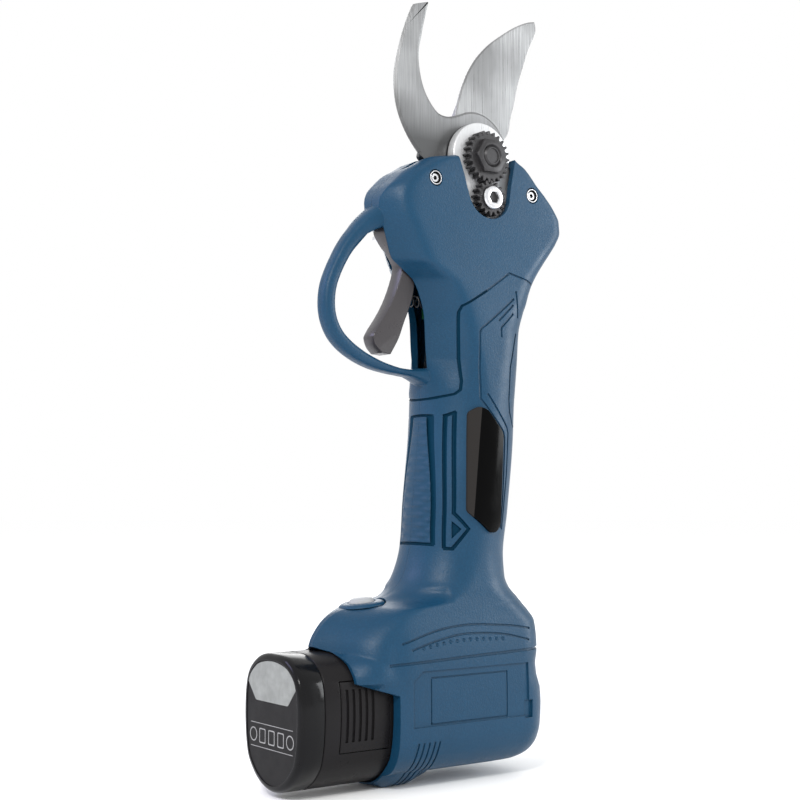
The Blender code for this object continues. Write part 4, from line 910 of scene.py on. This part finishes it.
def reach_at(x, z):
    """Half thickness of the housing where a screw head sinks in."""
    rows, u, w = BASE, x, z
    if z > 80:
        rows = [(row[0], row[1], row[2], row[3], row[4], row[4]) for row in UPPER]
        u = (x - AXIS_FOOT) * math.cos(LEAN) - z * math.sin(LEAN)
        w = (x - AXIS_FOOT) * math.sin(LEAN) + z * math.cos(LEAN)
    for low, high in zip(rows, rows[1:]):
        if low[0] <= w <= high[0]:
            share = (w - low[0]) / (high[0] - low[0])
            left, right, half, near, far = [a + share * (b - a) for a, b in zip(low[1:], high[1:])]
            break
    reach = half
    for edge in (u - SCREW_HEAD_R, u + SCREW_HEAD_R):
        for into, radius in ((left + near - edge, near), (edge - right + far, far)):
            if into > 0:
                reach = min(reach, half - radius + math.sqrt(radius * radius - into * into))
    return reach


BUTTON_SEAT = Matrix.Translation((BUTTON_AT[0], 0, BUTTON_AT[1])) @ Matrix.Rotation(BUTTON_TILT, 4, "Y")


def hollow(blank):
    """Cavities and openings. The drawn-in cavities and the rear one differ from the CAD shells."""
    upper = [(row[0] - (WALL if row[0] > 232 else 0), *row[1:]) for row in UPPER]
    upper.insert(0, (76.0, -19.6, 19.6, 19.6, 19.5))
    combine(blank, skin("upper_cavity", drawn_in(key_rings(WALL, upper, (), 30)[1], WALL)))
    rows = [(51.0, *BASE[10][1:])] + [row for row in BASE if row[0] > 52] + [(79, -5.6, 35.2, 20.0, 19.9, 19.9)]
    combine(blank, skin("base_cavity", drawn_in(key_rings(WALL, (), rows, 30)[1], WALL)))
    low_rows = [row for row in BASE if 7 < row[0] < 57]
    # The rings start well in front of the cavity, so that both corner radii fit in their length.
    rear = skin("rear_cavity", key_rings(WALL, (), low_rows, 30, front=29.4)[1])
    combine(rear, box("rear_limit", (36.0, -40, -20), (90, 40, 90)), "INTERSECT")
    combine(blank, rear)
    socket = pack_skin("socket", ((-90, 0.5), (PACK_REAR + 0.6, 0.5)))
    combine(socket, box("socket_floor", (KEEL_END + 0.5, -40, -9), (90, 40, KEEL_TOP - 0.4)))
    combine(blank, socket)
    combine(blank, prism("opening", OPENING, -40, 40))
    combine(blank, prism("notch", NOTCH, -30, 30))
    combine(blank, prism("slot", SLOT, -4.7, 4.7))
    combine(blank, box("contact_window", (29.2, -5, 47), (39.8, 5, 52)))
    combine(blank, spun("button_hole", ((0, 3), (6.0, 3), (6.0, -9), (0, -9)), BUTTON_SEAT))
    combine(blank, box("frame_slot", (3.6, -9.2, 225.5), (39.7, -4.2, 245)))
    combine(blank, box("blade_slot", (-9, -4.8, 221), (14, 0.05, 242)))


def shell_piece(blank, side):
    name = "left_shell_skin" if side < 0 else "right_shell_skin"
    made = twin(blank, name)
    low, high = sorted((side * SPLIT, side * 60))
    combine(made, box("half", (-120, low, -20), (120, high, 330)), "INTERSECT")
    for i, (x, z) in enumerate(HEAD_SCREWS + SHELL_SCREWS):
        reach = reach_at(x, z)
        combine(made, rod("boss", SCREW_BOSS_R, (x, side * 0.6, z), (x, side * (reach - 1.0), z)), "UNION")
        combine(made, rod("hole", SCREW_HOLE_R, (x, -side, z), (x, side * (reach - 4.4), z)))
        head_side = -1 if i < len(HEAD_SCREWS) else 1
        if head_side == side:
            combine(made, rod("pocket", SCREW_HEAD_R + 0.4, (x, side * (reach - 2.2), z), (x, side * 40, z)))
            combine(made, rod("neck", SCREW_HOLE_R, (x, side * (reach - 6), z), (x, side * (reach - 1.5), z)))
    combine(made, rod("pin_seat", 1.65, (TRIGGER_PIN[0], 0, TRIGGER_PIN[1]),
                      (TRIGGER_PIN[0], side * 10.6, TRIGGER_PIN[1])))
    # Groove floors with painted shade, read before the finishes are set again.
    painted_shade_floors = np.empty(len(made.data.polygons), np.int32)
    made.data.polygons.foreach_get("material_index", painted_shade_floors)
    piece(made, "housing", "blue_plastic", "left_shell" if side < 0 else "right_shell", extra=("groove", "knurl"))
    mark_knurl(made, painted_shade_floors)
    return made


def mark_knurl(thing, painted_shade_floors):
    """Gives the grip strip on the handle's front its own ridged finish; groove floors keep their painted shade."""
    mesh = thing.data
    c, s = math.cos(LEAN), math.sin(LEAN)
    count = len(mesh.polygons)
    centre = np.empty(count * 3)
    normal = np.empty(count * 3)
    mesh.polygons.foreach_get("center", centre)
    mesh.polygons.foreach_get("normal", normal)
    centre, normal = centre.reshape(-1, 3) / MM, normal.reshape(-1, 3)
    x, z = centre[:, 0] - AXIS_FOOT, centre[:, 2] - LIFT / MM
    u, w = x * c - z * s, x * s + z * c
    edge = -19.9 + (133 - w) * 0.052
    strip = (u < edge) & (w > 84.9) & (w < 133.4) & (normal[:, 0] < -0.3)
    finishes = np.where(painted_shade_floors == 1, 1, np.where(strip, 2, 0)).astype(np.int32)
    mesh.polygons.foreach_set("material_index", finishes)
    mesh.update()


def housing():
    blank = form(0.0)
    combine(blank, spun("button_seat", ((0, 0.6), (8.9, 0.6), (9.6, -3), (0, -3)), BUTTON_SEAT), "UNION")
    combine(blank, spun("bezel_seat", ((0, 8), (9.0, 8), (9.0, 0.4), (0, 0.4)), BUTTON_SEAT))
    carve_lines(blank)
    carve_dimples(blank)
    hollow(blank)
    shell_piece(blank, -1)
    shell_piece(blank, 1)
    bpy.data.objects.remove(blank)


housing()

# Badge outline in the tool frame.
BADGE = ((-11.2, 135.0), (-7.6, 137.6), (-4.0, 136.8), (4.6, 128.8), (7.1, 94.0), (5.2, 91.2), (1.8, 90.6),
         (-8.8, 97.6))


def rounded_outline(points, radius, steps=5):
    """Outline with each corner cut to an arc-like curve of the given reach."""
    out = []
    count = len(points)
    for i in range(count):
        here = Vector(points[i])
        to_last, to_next = Vector(points[i - 1]) - here, Vector(points[(i + 1) % count]) - here
        reach = min(radius, to_last.length / 2.2, to_next.length / 2.2)
        a, b = here + to_last.normalized() * reach, here + to_next.normalized() * reach
        for j in range(steps + 1):
            t = j / steps
            out.append(tuple(a * (1 - t) ** 2 + here * 2 * t * (1 - t) + b * t * t))
    return out


def badges():
    for side, word in ((-1, "left"), (1, "right")):
        outline = in_tool(rounded_outline(BADGE, 1.4))
        low, high = sorted((side * 14.0, side * 24.0))
        made = prism(f"badge_{word}_gloss", outline, low, high)
        rows = [row for row in UPPER if row[0] < 150]
        outer = refined(*key_rings(0.0, rows, (), 86), 1.0)
        combine(made, skin("badge_outer", outer + grid_normals(outer) * 0.95), "INTERSECT")
        combine(made, skin("badge_core", outer - grid_normals(outer) * 0.2))
        bevel(made, 0.3, 3, 50)
        piece(made, "housing", "black_gloss", f"badge_{word}", finish="badge")


badges()


# ---------------------------------------------------------------- screws, nut, lock gear

def facing(x, y, z, side=-1):
    """Frame whose Z points out of the side face, towards -Y or +Y."""
    return Matrix.Translation((x, y, z)) @ Matrix.Rotation(-side * math.pi / 2, 4, "X")


def paint_recess_shade(thing, place, inside):
    """Paints shade on the faces of a screw for which inside(radius, height) holds: they get the painted recess shade
    material.
    """
    thing.data.materials.append(MATERIALS["recess_painted_shade"])
    inverse = place.inverted()
    for face in thing.data.polygons:
        spot = inverse @ ((face.center - Vector((0, 0, LIFT))) / MM)
        if inside(math.hypot(spot.x, spot.y), spot.z):
            face.material_index = 1


def head_screw_shaded_part(radius, height):
    """The ring round a head screw's button and the floor of its socket, which get painted shade."""
    return (1.62 < radius < 2.3 and height > -1.2) or (radius < 0.95 and -1.65 < height < -0.6)


# The floor of the lock screw's socket, which gets painted shade.
def lock_screw_shaded_part(radius, height):
    return radius < 2.4 and 13.9 < height < 14.7


def socket_cut(thing, place, radius, low, high, steps=6):
    return combine(thing, prism("socket", circle((0, 0), radius, steps), low, high, place=place))


def shell_screws():
    for i, (x, z) in enumerate(HEAD_SCREWS):
        place = facing(x, -(reach_at(x, z) - 0.1), z)
        length = 2 * reach_at(x, z) - 5.2
        profile = ((0, -0.5), (1.55, -0.5), (1.75, -0.25), (1.95, -0.9), (2.2, -0.9), (2.32, 0.15), (2.65, 0.15),
                   (2.8, -0.1), (2.8, -1.9), (1.45, -1.9), (1.45, -length), (0, -length))
        made = spun(f"head_screw_{i + 1}_bright", profile, place, steps=56)
        socket_cut(made, place, 0.9, -1.6, 1)
        piece(made, "housing", "screw_steel", f"head_screw_{i + 1}", angle=28)
        paint_recess_shade(made, place, head_screw_shaded_part)


def notched_outline(teeth, module, phase=0.0):
    pitch = teeth * module / 2
    points = []
    for i in range(teeth):
        middle = phase + 2 * math.pi * i / teeth
        step = 2 * math.pi / teeth
        root, tip = pitch - 0.8, pitch + 0.7
        for radius, share in ((root, -0.33), (tip, -0.14), (tip, 0.14), (root, 0.33)):
            angle = middle + share * step
            points.append((radius * math.cos(angle), radius * math.sin(angle)))
    return points


def pivot_group():
    about = facing(PIVOT[0], 0, PIVOT[1])
    nut = prism("pivot_nut_black", notched_outline(24, 0.8), 9.1, 13.3, place=about)
    bevel(nut, 0.22, 1, 50)
    hexagon = prism("hexagon", circle((0, 0), 7.4, 6), 12.0, 15.3, place=about)
    bevel(hexagon, 0.35, 2, 40)
    crown = spun("crown", ((0, 11), (7.6, 11), (7.6, 14.6), (6.5, 15.35), (0, 15.35)), about)
    combine(hexagon, crown, "INTERSECT")
    combine(nut, hexagon, "UNION")
    combine(nut, spun("nut_bore", ((0, 5), (4.05, 5), (4.05, 14.7), (4.6, 15.3), (4.6, 18), (0, 18)), about))
    piece(nut, "housing", "black_oxide", "pivot_nut", angle=25)

    back = facing(PIVOT[0], 10.8, PIVOT[1])
    shank = 26.7
    profile = ((0, -1.0), (3.95, -1.0), (3.95, shank - 1.1), (3.3, shank - 0.35), (2.9, shank - 0.35),
               (2.75, shank - 0.75), (0, shank - 0.75))
    bolt = spun("pivot_bolt_black", profile, back, steps=64)
    head = prism("bolt_hexagon", circle((0, 0), 7.2, 6), -3.6, 0, place=back)
    bevel(head, 0.4, 2, 40)
    combine(bolt, head, "UNION")
    piece(bolt, "housing", "black_oxide", "pivot_bolt", angle=25)

    lock = facing(LOCK_AT[0], 0, LOCK_AT[1])
    towards = math.atan2(PIVOT[1] - LOCK_AT[1], PIVOT[0] - LOCK_AT[0])
    nut_step = 2 * math.pi / 24
    share = (towards + math.pi) % nut_step / nut_step
    gear = prism("lock_gear_black", notched_outline(16, 0.8, towards + (0.5 + share) * 2 * math.pi / 16), 9.1, 13.3,
                 place=lock)
    bevel(gear, 0.22, 1, 50)
    combine(gear, spun("lock_bore", ((0, 5), (1.7, 5), (1.7, 18), (0, 18)), lock))
    piece(gear, "housing", "black_oxide", "lock_gear", angle=25)

    profile = ((0, 14.95), (3.9, 14.95), (4.3, 14.8), (4.6, 14.35), (4.6, 13.6), (1.5, 13.6), (1.5, 5.0), (0, 5.0))
    screw = spun("lock_screw_bright", profile, lock, steps=64)
    socket_cut(screw, lock, 2.5, 14.05, 17)
    bevel(screw, 0.12, 2, 50)
    piece(screw, "housing", "screw_steel", "lock_screw", angle=25)
    paint_recess_shade(screw, lock, lock_screw_shaded_part)


shell_screws()
pivot_group()


def head_frame():
    """Aluminium frame: bevelled boss in front, rear plate and drive neck."""
    drive_lean = math.radians(3.2)

    def drive(distance=0.0):
        c, s = math.cos(drive_lean), math.sin(drive_lean)
        centre = Vector((PIVOT[0] - distance * s, 1.5, PIVOT[1] - distance * c))
        return Matrix.Translation(centre) @ Matrix.Rotation(drive_lean, 4, "Y")

    face = (arc(PIVOT, 14.3, 8, 186, 72) + [(5.2, 234.2), (4.0, 228.0), (9.6, 226.0), (11.5, 213.0), (15.0, 205.0),
            (32.0, 205.0), (37.0, 213.0), (39.3, 228.0), (39.3, 236.0)])
    made = prism("head_frame_bright", face, -8.8, -4.6)
    bevel(made, 0.45, 3, 50)
    rear = (arc(PIVOT, 12.0, 0, 180, 40) + [(12.2, 228.0), (13.0, 212.0), (16.0, 205.0), (31.0, 205.0),
            (35.5, 212.0), (37.5, 228.0)])
    plate = prism("rear_plate", rear, 8.2, 10.5)
    bevel(plate, 0.4, 2, 50)
    combine(made, plate, "UNION")
    profile = ((0, -18.9), (8.5, -18.9), (8.5, -52), (12.8, -52), (12.8, -58), (0, -58))
    combine(made, spun("neck", profile, drive()), "UNION")
    bore = ((0, 0), (6.55, 0), (6.55, -24.5), (4.4, -24.5), (4.4, -53), (6.55, -53), (6.55, -70), (0, -70))
    combine(made, spun("bore", bore, drive()))
    combine(made, rod("bolt_hole", 4.05, (PIVOT[0], -20, PIVOT[1]), (PIVOT[0], 20, PIVOT[1])))
    combine(made, rod("lock_hole", 1.6, (LOCK_AT[0], -20, LOCK_AT[1]), (LOCK_AT[0], -4, LOCK_AT[1])))
    x, z = HOOK_SCREW
    combine(made, rod("hook_hole", 1.75, (x, -20, z), (x, -4, z)))
    combine(made, rod("hook_sink", 2.8, (x, -20, z), (x, -6.6, z)))
    piece(made, "housing", "aluminium", "head_frame", angle=30)


head_frame()


# ---------------------------------------------------------------- blades

# Fixed hook: outer edge from its tip down, the hidden tail, the ring and the inner edge.
HOOK = ([(2.2, 296.3), (-5.2, 293.9), (-7.4, 289.6), (-10.3, 282.0), (-12.6, 274.0), (-14.1, 266.5),
         (-14.2, 260.0), (-13.3, 253.5), (-11.2, 247.6), (-7.4, 241.2), (-2.6, 235.6), (2.0, 231.6),
         (6.5, 228.2), (13.0, 228.0)] + arc(PIVOT, 9.2, 215, 350, 9) + [(37.5, 240.0)]
        + arc((25.6, 240.3), 15.9, 22, 118, 8) + [(14.6, 253.0), (10.8, 252.2), (6.8, 253.0), (2.8, 256.8),
        (-0.2, 261.8), (-2.0, 268.0), (-2.6, 275.0), (-1.3, 282.2), (0.4, 289.6)])
HOOK_CORNERS = (0, 1, 12, 13, 14, 23, 24, 33)

# Moving blade: cutting edge from its tip down, the root round the bolt, then the spine.
BLADE = ([(60.5, 301.2), (57.0, 300.3), (51.9, 298.0), (46.9, 295.0), (41.9, 291.5), (36.9, 287.7),
          (32.9, 284.0), (28.9, 279.5), (25.4, 274.2), (22.9, 269.2), (20.9, 264.2), (19.4, 259.2),
          (18.2, 254.5), (16.4, 243.5)] + arc(PIVOT, 9.2, 160, 350, 12) + [(38.5, 242.0), (45.2, 250.9),
         (46.2, 253.4), (46.9, 257.4), (48.9, 264.2), (51.0, 272.6), (53.9, 280.7), (57.0, 288.9),
         (60.3, 295.4), (61.0, 298.0)])
BLADE_CORNERS = (0, 13, 14, 26, 27, 28)


def inward(points, reach):
    """Moves each point of a closed outline inwards by its own reach."""
    pts = np.array(points)
    along = np.roll(pts, -1, axis=0) - np.roll(pts, 1, axis=0)
    along /= np.maximum(np.linalg.norm(along, axis=1, keepdims=True), 1e-9)
    area = np.sum(pts[:, 0] * np.roll(pts[:, 1], -1) - np.roll(pts[:, 0], -1) * pts[:, 1])
    normal = np.column_stack([-along[:, 1], along[:, 0]]) * (1 if area > 0 else -1)
    return pts + normal * np.asarray(reach)[:, None]


def ground_plate(name, outline, layers):
    """Flat piece skinned through layers of (y per point, outline); the end faces are filled."""
    rings = [np.column_stack([flat[:, 0], y, flat[:, 1]]) for y, flat in layers]
    size = len(outline)
    points = np.concatenate(rings)
    faces = []
    for i in range(len(rings) - 1):
        for j in range(size):
            k = (j + 1) % size
            faces.append((i * size + j, i * size + k, (i + 1) * size + k, (i + 1) * size + j))
    faces += [tuple(range(size)), tuple(range((len(rings) - 1) * size, len(rings) * size))]
    return solid(name, points, faces)


def near_path(outline, path, reach):
    """1 for outline points within reach of the polyline's points, fading to 0."""
    pts, line_points = np.array(outline), np.array(curve_through(path, 0.5))
    gap = np.min(np.linalg.norm(pts[:, None] - line_points[None], axis=2), axis=1)
    return np.clip(1 - gap / reach, 0, 1)


def blades():
    outline = curve_through(HOOK, 0.7, closed=True, corners=HOOK_CORNERS)
    count = len(outline)
    outer = near_path(outline, HOOK[1:11], 1.5)
    inner = near_path(outline, HOOK[24:] + HOOK[:1], 1.5)
    reach = 0.12 + 1.0 * outer + 0.75 * inner
    ones = np.ones(count)
    flat = np.array(outline)
    made = ground_plate("fixed_blade_ground", outline, (
        (-4.3 * ones, inward(outline, reach)), (-4.3 + 0.1 + 0.55 * outer + 0.35 * inner, flat),
        (-2.9 * ones, inward(outline, 0.35 * outer)), (-0.6 * ones, inward(outline, 0.15 + 2.3 * outer))))
    for name, radius, (x, z) in (("hook_bore", 4.05, PIVOT), ("hook_hole", 1.6, HOOK_SCREW)):
        combine(made, rod(name, radius, (x, -10, z), (x, 10, z)))
    piece(made, "housing", "blade_steel", "fixed_blade", finish="hook_steel", angle=20)

    outline = curve_through(BLADE, 0.7, closed=True, corners=BLADE_CORNERS)
    count = len(outline)
    flat = np.array(outline)
    cut = near_path(outline, BLADE[:13], 1.5)
    tip = np.clip(np.linalg.norm(flat - BLADE[0], axis=1) / 16, 0, 1)
    root = np.clip((flat[:, 1] - 252) / 8, 0, 1)
    grind = 0.15 + 4.6 * cut * tip * root
    ones = np.ones(count)
    near = 0.12 + 0.45 * cut
    made = ground_plate("moving_blade_ground", outline, (
        (-0.3 * ones, inward(outline, near)), (-0.3 + 0.1 + 0.15 * cut, flat),
        (2.85 - 2.6 * cut * tip * root, flat), (3.0 * ones, inward(outline, grind))))
    combine(made, rod("blade_bore", 4.0, (PIVOT[0], -10, PIVOT[1]), (PIVOT[0], 10, PIVOT[1])))
    piece(made, "blade", "blade_steel", "moving_blade", finish="blade_steel", angle=20)


# The hook's colour carries painted shade, darker towards the pivot.
MATERIALS["hook_steel"] = machined("hook_brushed_painted_shade", (0.38, 0.385, 0.39), 0.33, (2400, 900, 45), (0, -0.75, 0),
                                   drift=0.4, broad=0.5, root_painted_shade=(0.243, 0.262))
blades()


# ---------------------------------------------------------------- trigger and button

TRIGGER = ((-23.6, 162.6), (-22.8, 160.2), (-19.6, 157.3), (-15.7, 157.0), (-12.0, 163.1), (-9.4, 169.5),
           (-7.1, 174.8), (-5.3, 180.1), (-4.4, 186.0), (-4.5, 192.0), (-6.0, 201.0), (-9.0, 206.6),
           (-13.5, 208.2), (-17.4, 206.4), (-18.6, 203.4), (-13.9, 196.8), (-10.6, 191.8), (-10.5, 189.4),
           (-11.9, 184.6), (-14.1, 179.2), (-16.5, 174.6), (-19.5, 170.0), (-22.1, 166.4), (-23.5, 164.0))


def trigger():
    outline = curve_through(TRIGGER, 0.8, closed=True, corners=(1, 2, 3, 15))
    front = near_path(outline, TRIGGER[15:] + TRIGGER[:2], 1.5)
    reach = (0.25 + 1.05 * front, 0.06 + 0.3 * front, 0.0 * front)
    rise = (3.8 + 0.0 * front, 3.65 - 0.25 * front, 3.45 - 1.0 * front)
    layers = [(-y, inward(outline, r)) for y, r in zip(rise, reach)]
    layers += [(y, inward(outline, r)) for y, r in zip(rise[::-1], reach[::-1])]
    made = ground_plate("trigger_moulded", outline, layers)
    x, z = TRIGGER_PIN
    combine(made, rod("pin_hole", 1.55, (x, -9, z), (x, 9, z)))
    combine(made, rod("magnet_seat", 1.6, (-9.4, 0, 189), (0, 0, 189)))
    combine(made, rod("spring_seat", 2.8, (-11.3, 0, 178.5), (0, 0, 178.5)))
    piece(made, "trigger", "trigger_grey", "trigger", angle=28)


def button():
    ring = ((5.1, 1.9), (5.5, 2.15), (6.9, 2.1), (7.9, 1.7), (8.5, 1.2), (8.6, 0.9), (8.6, 0.7), (5.8, 0.7),
            (5.8, -4.0), (5.1, -4.0))
    made = spun("button_bezel_ring", ring, BUTTON_SEAT, steps=72, ring=True)
    piece(made, "housing", "blue_plastic", "button_bezel", angle=40)
    cap = ((0, 3.9), (2.0, 3.84), (3.4, 3.6), (4.2, 3.2), (4.7, 2.6), (4.9, 1.9), (4.9, -1.2), (0, -1.2))
    made = spun("power_button_cap", cap, BUTTON_SEAT, steps=64)
    piece(made, "power_button", "button_grey", "power_button", angle=40)


trigger()
button()


# ---------------------------------------------------------------- battery

def battery():
    body = pack_skin("battery_shell_satin", (
        (PACK_SEAM + 0.1, -0.35), (PACK_SEAM + 0.3, -0.1), (PACK_SEAM + 0.6, 0),
        (PACK_REAR - 0.6, 0), (PACK_REAR - 0.2, -0.15), (PACK_REAR, -0.5)))
    combine(body, box("keel", (KEEL_END, -40, -9), (90, 40, KEEL_TOP)))
    inner = pack_skin("inner", ((PACK_SEAM - 1, -1.6), (PACK_REAR - 1.4, -1.6)))
    combine(inner, box("inner_floor", (KEEL_END - 1.6, -40, -9), (90, 40, KEEL_TOP + 1.6)))
    combine(body, inner)
    combine(body, box("spring_rib", (-41.5, -2.4, 0.6), (-34.5, 2.4, 47.6)), "UNION")
    for y in (-9.08, 9.08):
        for z in (18.0, 36.15):
            combine(body, rod("bay", 9.2, (-28.8, y, z), (PACK_REAR - 0.8, y, z)))
    for side in (-1, 1):
        low, high = sorted((side * 12, side * 24))
        combine(body, box("window", (LATCH_X[0] - 0.3, low, LATCH_Z[0] - 0.3),
                          (LATCH_X[1] + 0.3, high, LATCH_Z[1] + 0.3)))
        combine(body, box("contact_slot", (29, side * 3 - 0.8, 42.8), (PACK_REAR + 2, side * 3 + 0.8, 52)))
    piece(body, "battery", "black_plastic", "battery_shell")

    front = PACK_FRONT
    cap = pack_skin("battery_cap_gloss", (
        (PACK_SEAM - 0.05, -0.35), (PACK_SEAM - 0.25, -0.12), (PACK_SEAM - 0.5, -0.02), (front + 2.6, 0.0),
        (front + 1.7, -0.1), (front + 1.0, -0.35), (front + 0.5, -0.75), (front + 0.15, -1.35), (front, -2.1)))
    combine(cap, pack_skin("cap_hollow", ((front + 2.2, -2.0), (PACK_SEAM + 1, -2.0))))
    combine(cap, pack_skin("label_seat", ((front - 1, -2.5), (front + 0.35, -2.5))))
    piece(cap, "battery", "black_gloss", "battery_cap")

    for side, word in ((-1, "left"), (1, "right")):
        rows = [(LATCH_X[0] + 0.0, 0.02), (LATCH_X[0] + 0.35, 0.25), (-31.6, 0.25)]
        made = pack_skin(f"battery_latch_{word}_ribbed", rows + [(LATCH_X[1], 0.25)])
        low, high = sorted((side * 15.9, side * 24))
        combine(made, box("keep", (-60, low, LATCH_Z[0]), (-10, high, LATCH_Z[1])), "INTERSECT")
        floor = pack_skin("rib_floor", ((-70, -0.45), (-10, -0.45)))
        cuts = []
        for x in (-45.6, -42.9, -40.2, -37.5, -34.8):
            cuts.append(box("rib", (x - 0.55, low - 2, LATCH_Z[0] + 3.5),
                            (x + 0.55, high + 2, LATCH_Z[1] - 2.6)))
        tool = merged("ribs", cuts)
        combine(tool, floor)
        combine(made, tool)
        piece(made, f"latch_{word}", "black_plastic", f"battery_latch_{word}")


def label_face():
    """Plain label on the battery's end: a six-sided silver field, two rules and five simple marks."""
    end_face = PACK_FRONT + 0.35
    place = Matrix(((0, 0, -1, end_face), (-1, 0, 0, 0), (0, 1, 0, 0), (0, 0, 0, 1)))

    def raised(name, outline, low, high):
        """Prism on the end face; the outline is (y, z)."""
        return prism(name, [(-y, z) for y, z in outline], low, high, place=place)

    def on_face(name, outline, rise, finish, slot):
        return piece(raised(name, outline, -0.05, rise), "battery", slot, finish=finish)

    def bar(y, z, half_y, half_z):
        return [(y - half_y, z - half_z), (y + half_y, z - half_z),
                (y + half_y, z + half_z), (y - half_y, z + half_z)]

    face = [(float(y), float(z)) for y, z in pack_curve(-2.6, 1.0)]
    on_face("label_ground", face, 0.12, "label_black", "black_plastic")
    top = curve_through([(-16.6, 37.8), (-13.6, 41.2), (-9.0, 44.2), (0, 45.6), (9.0, 44.2), (13.6, 41.2),
                         (16.6, 37.8)], 1.0)
    field = top + [(11.2, 31.6), (10.4, 31.2), (-10.4, 31.2), (-11.2, 31.6)]
    on_face("label_field", field, 0.17, "label_silver", "aluminium")
    for i, z in enumerate((23.2, 14.9)):
        on_face(f"label_rule_{i + 1}", bar(0, z, 14.2, 0.12), 0.16, "label_grey", "aluminium")
    shapes = []
    for y in (-12.4, 12.4):
        shapes.append((circle((y, 19.0), 2.5, 32), circle((y, 19.0), 2.1, 32)))
    for y in (-6.2, 0.0, 6.2):
        shapes.append((rounded_outline(bar(y, 19.0, 2.1, 2.6), 0.6), rounded_outline(bar(y, 19.0, 1.7, 2.2), 0.5)))
    for i, (outer, inner) in enumerate(shapes):
        made = raised(f"label_mark_{i + 1}", outer, -0.05, 0.16)
        combine(made, raised("inside", inner, -1, 1))
        piece(made, "battery", "aluminium", finish="label_grey")


battery()
label_face()


# ---------------------------------------------------------------- finishes of the CAD nodes kept

def finish_nodes():
    slots = {entry["node"]: entry["material_slot"] for entry in frame["record"]["subparts"]}
    for name, slot in slots.items():
        node = bpy.data.objects.get(name)
        # The trigger's spring shows in the opening; it gets the black-oxide material.
        finish = "black_oxide" if name == "trigger_spring" else slot
        for entry in node.material_slots if node else ():
            entry.material = MATERIALS[finish]


finish_nodes()
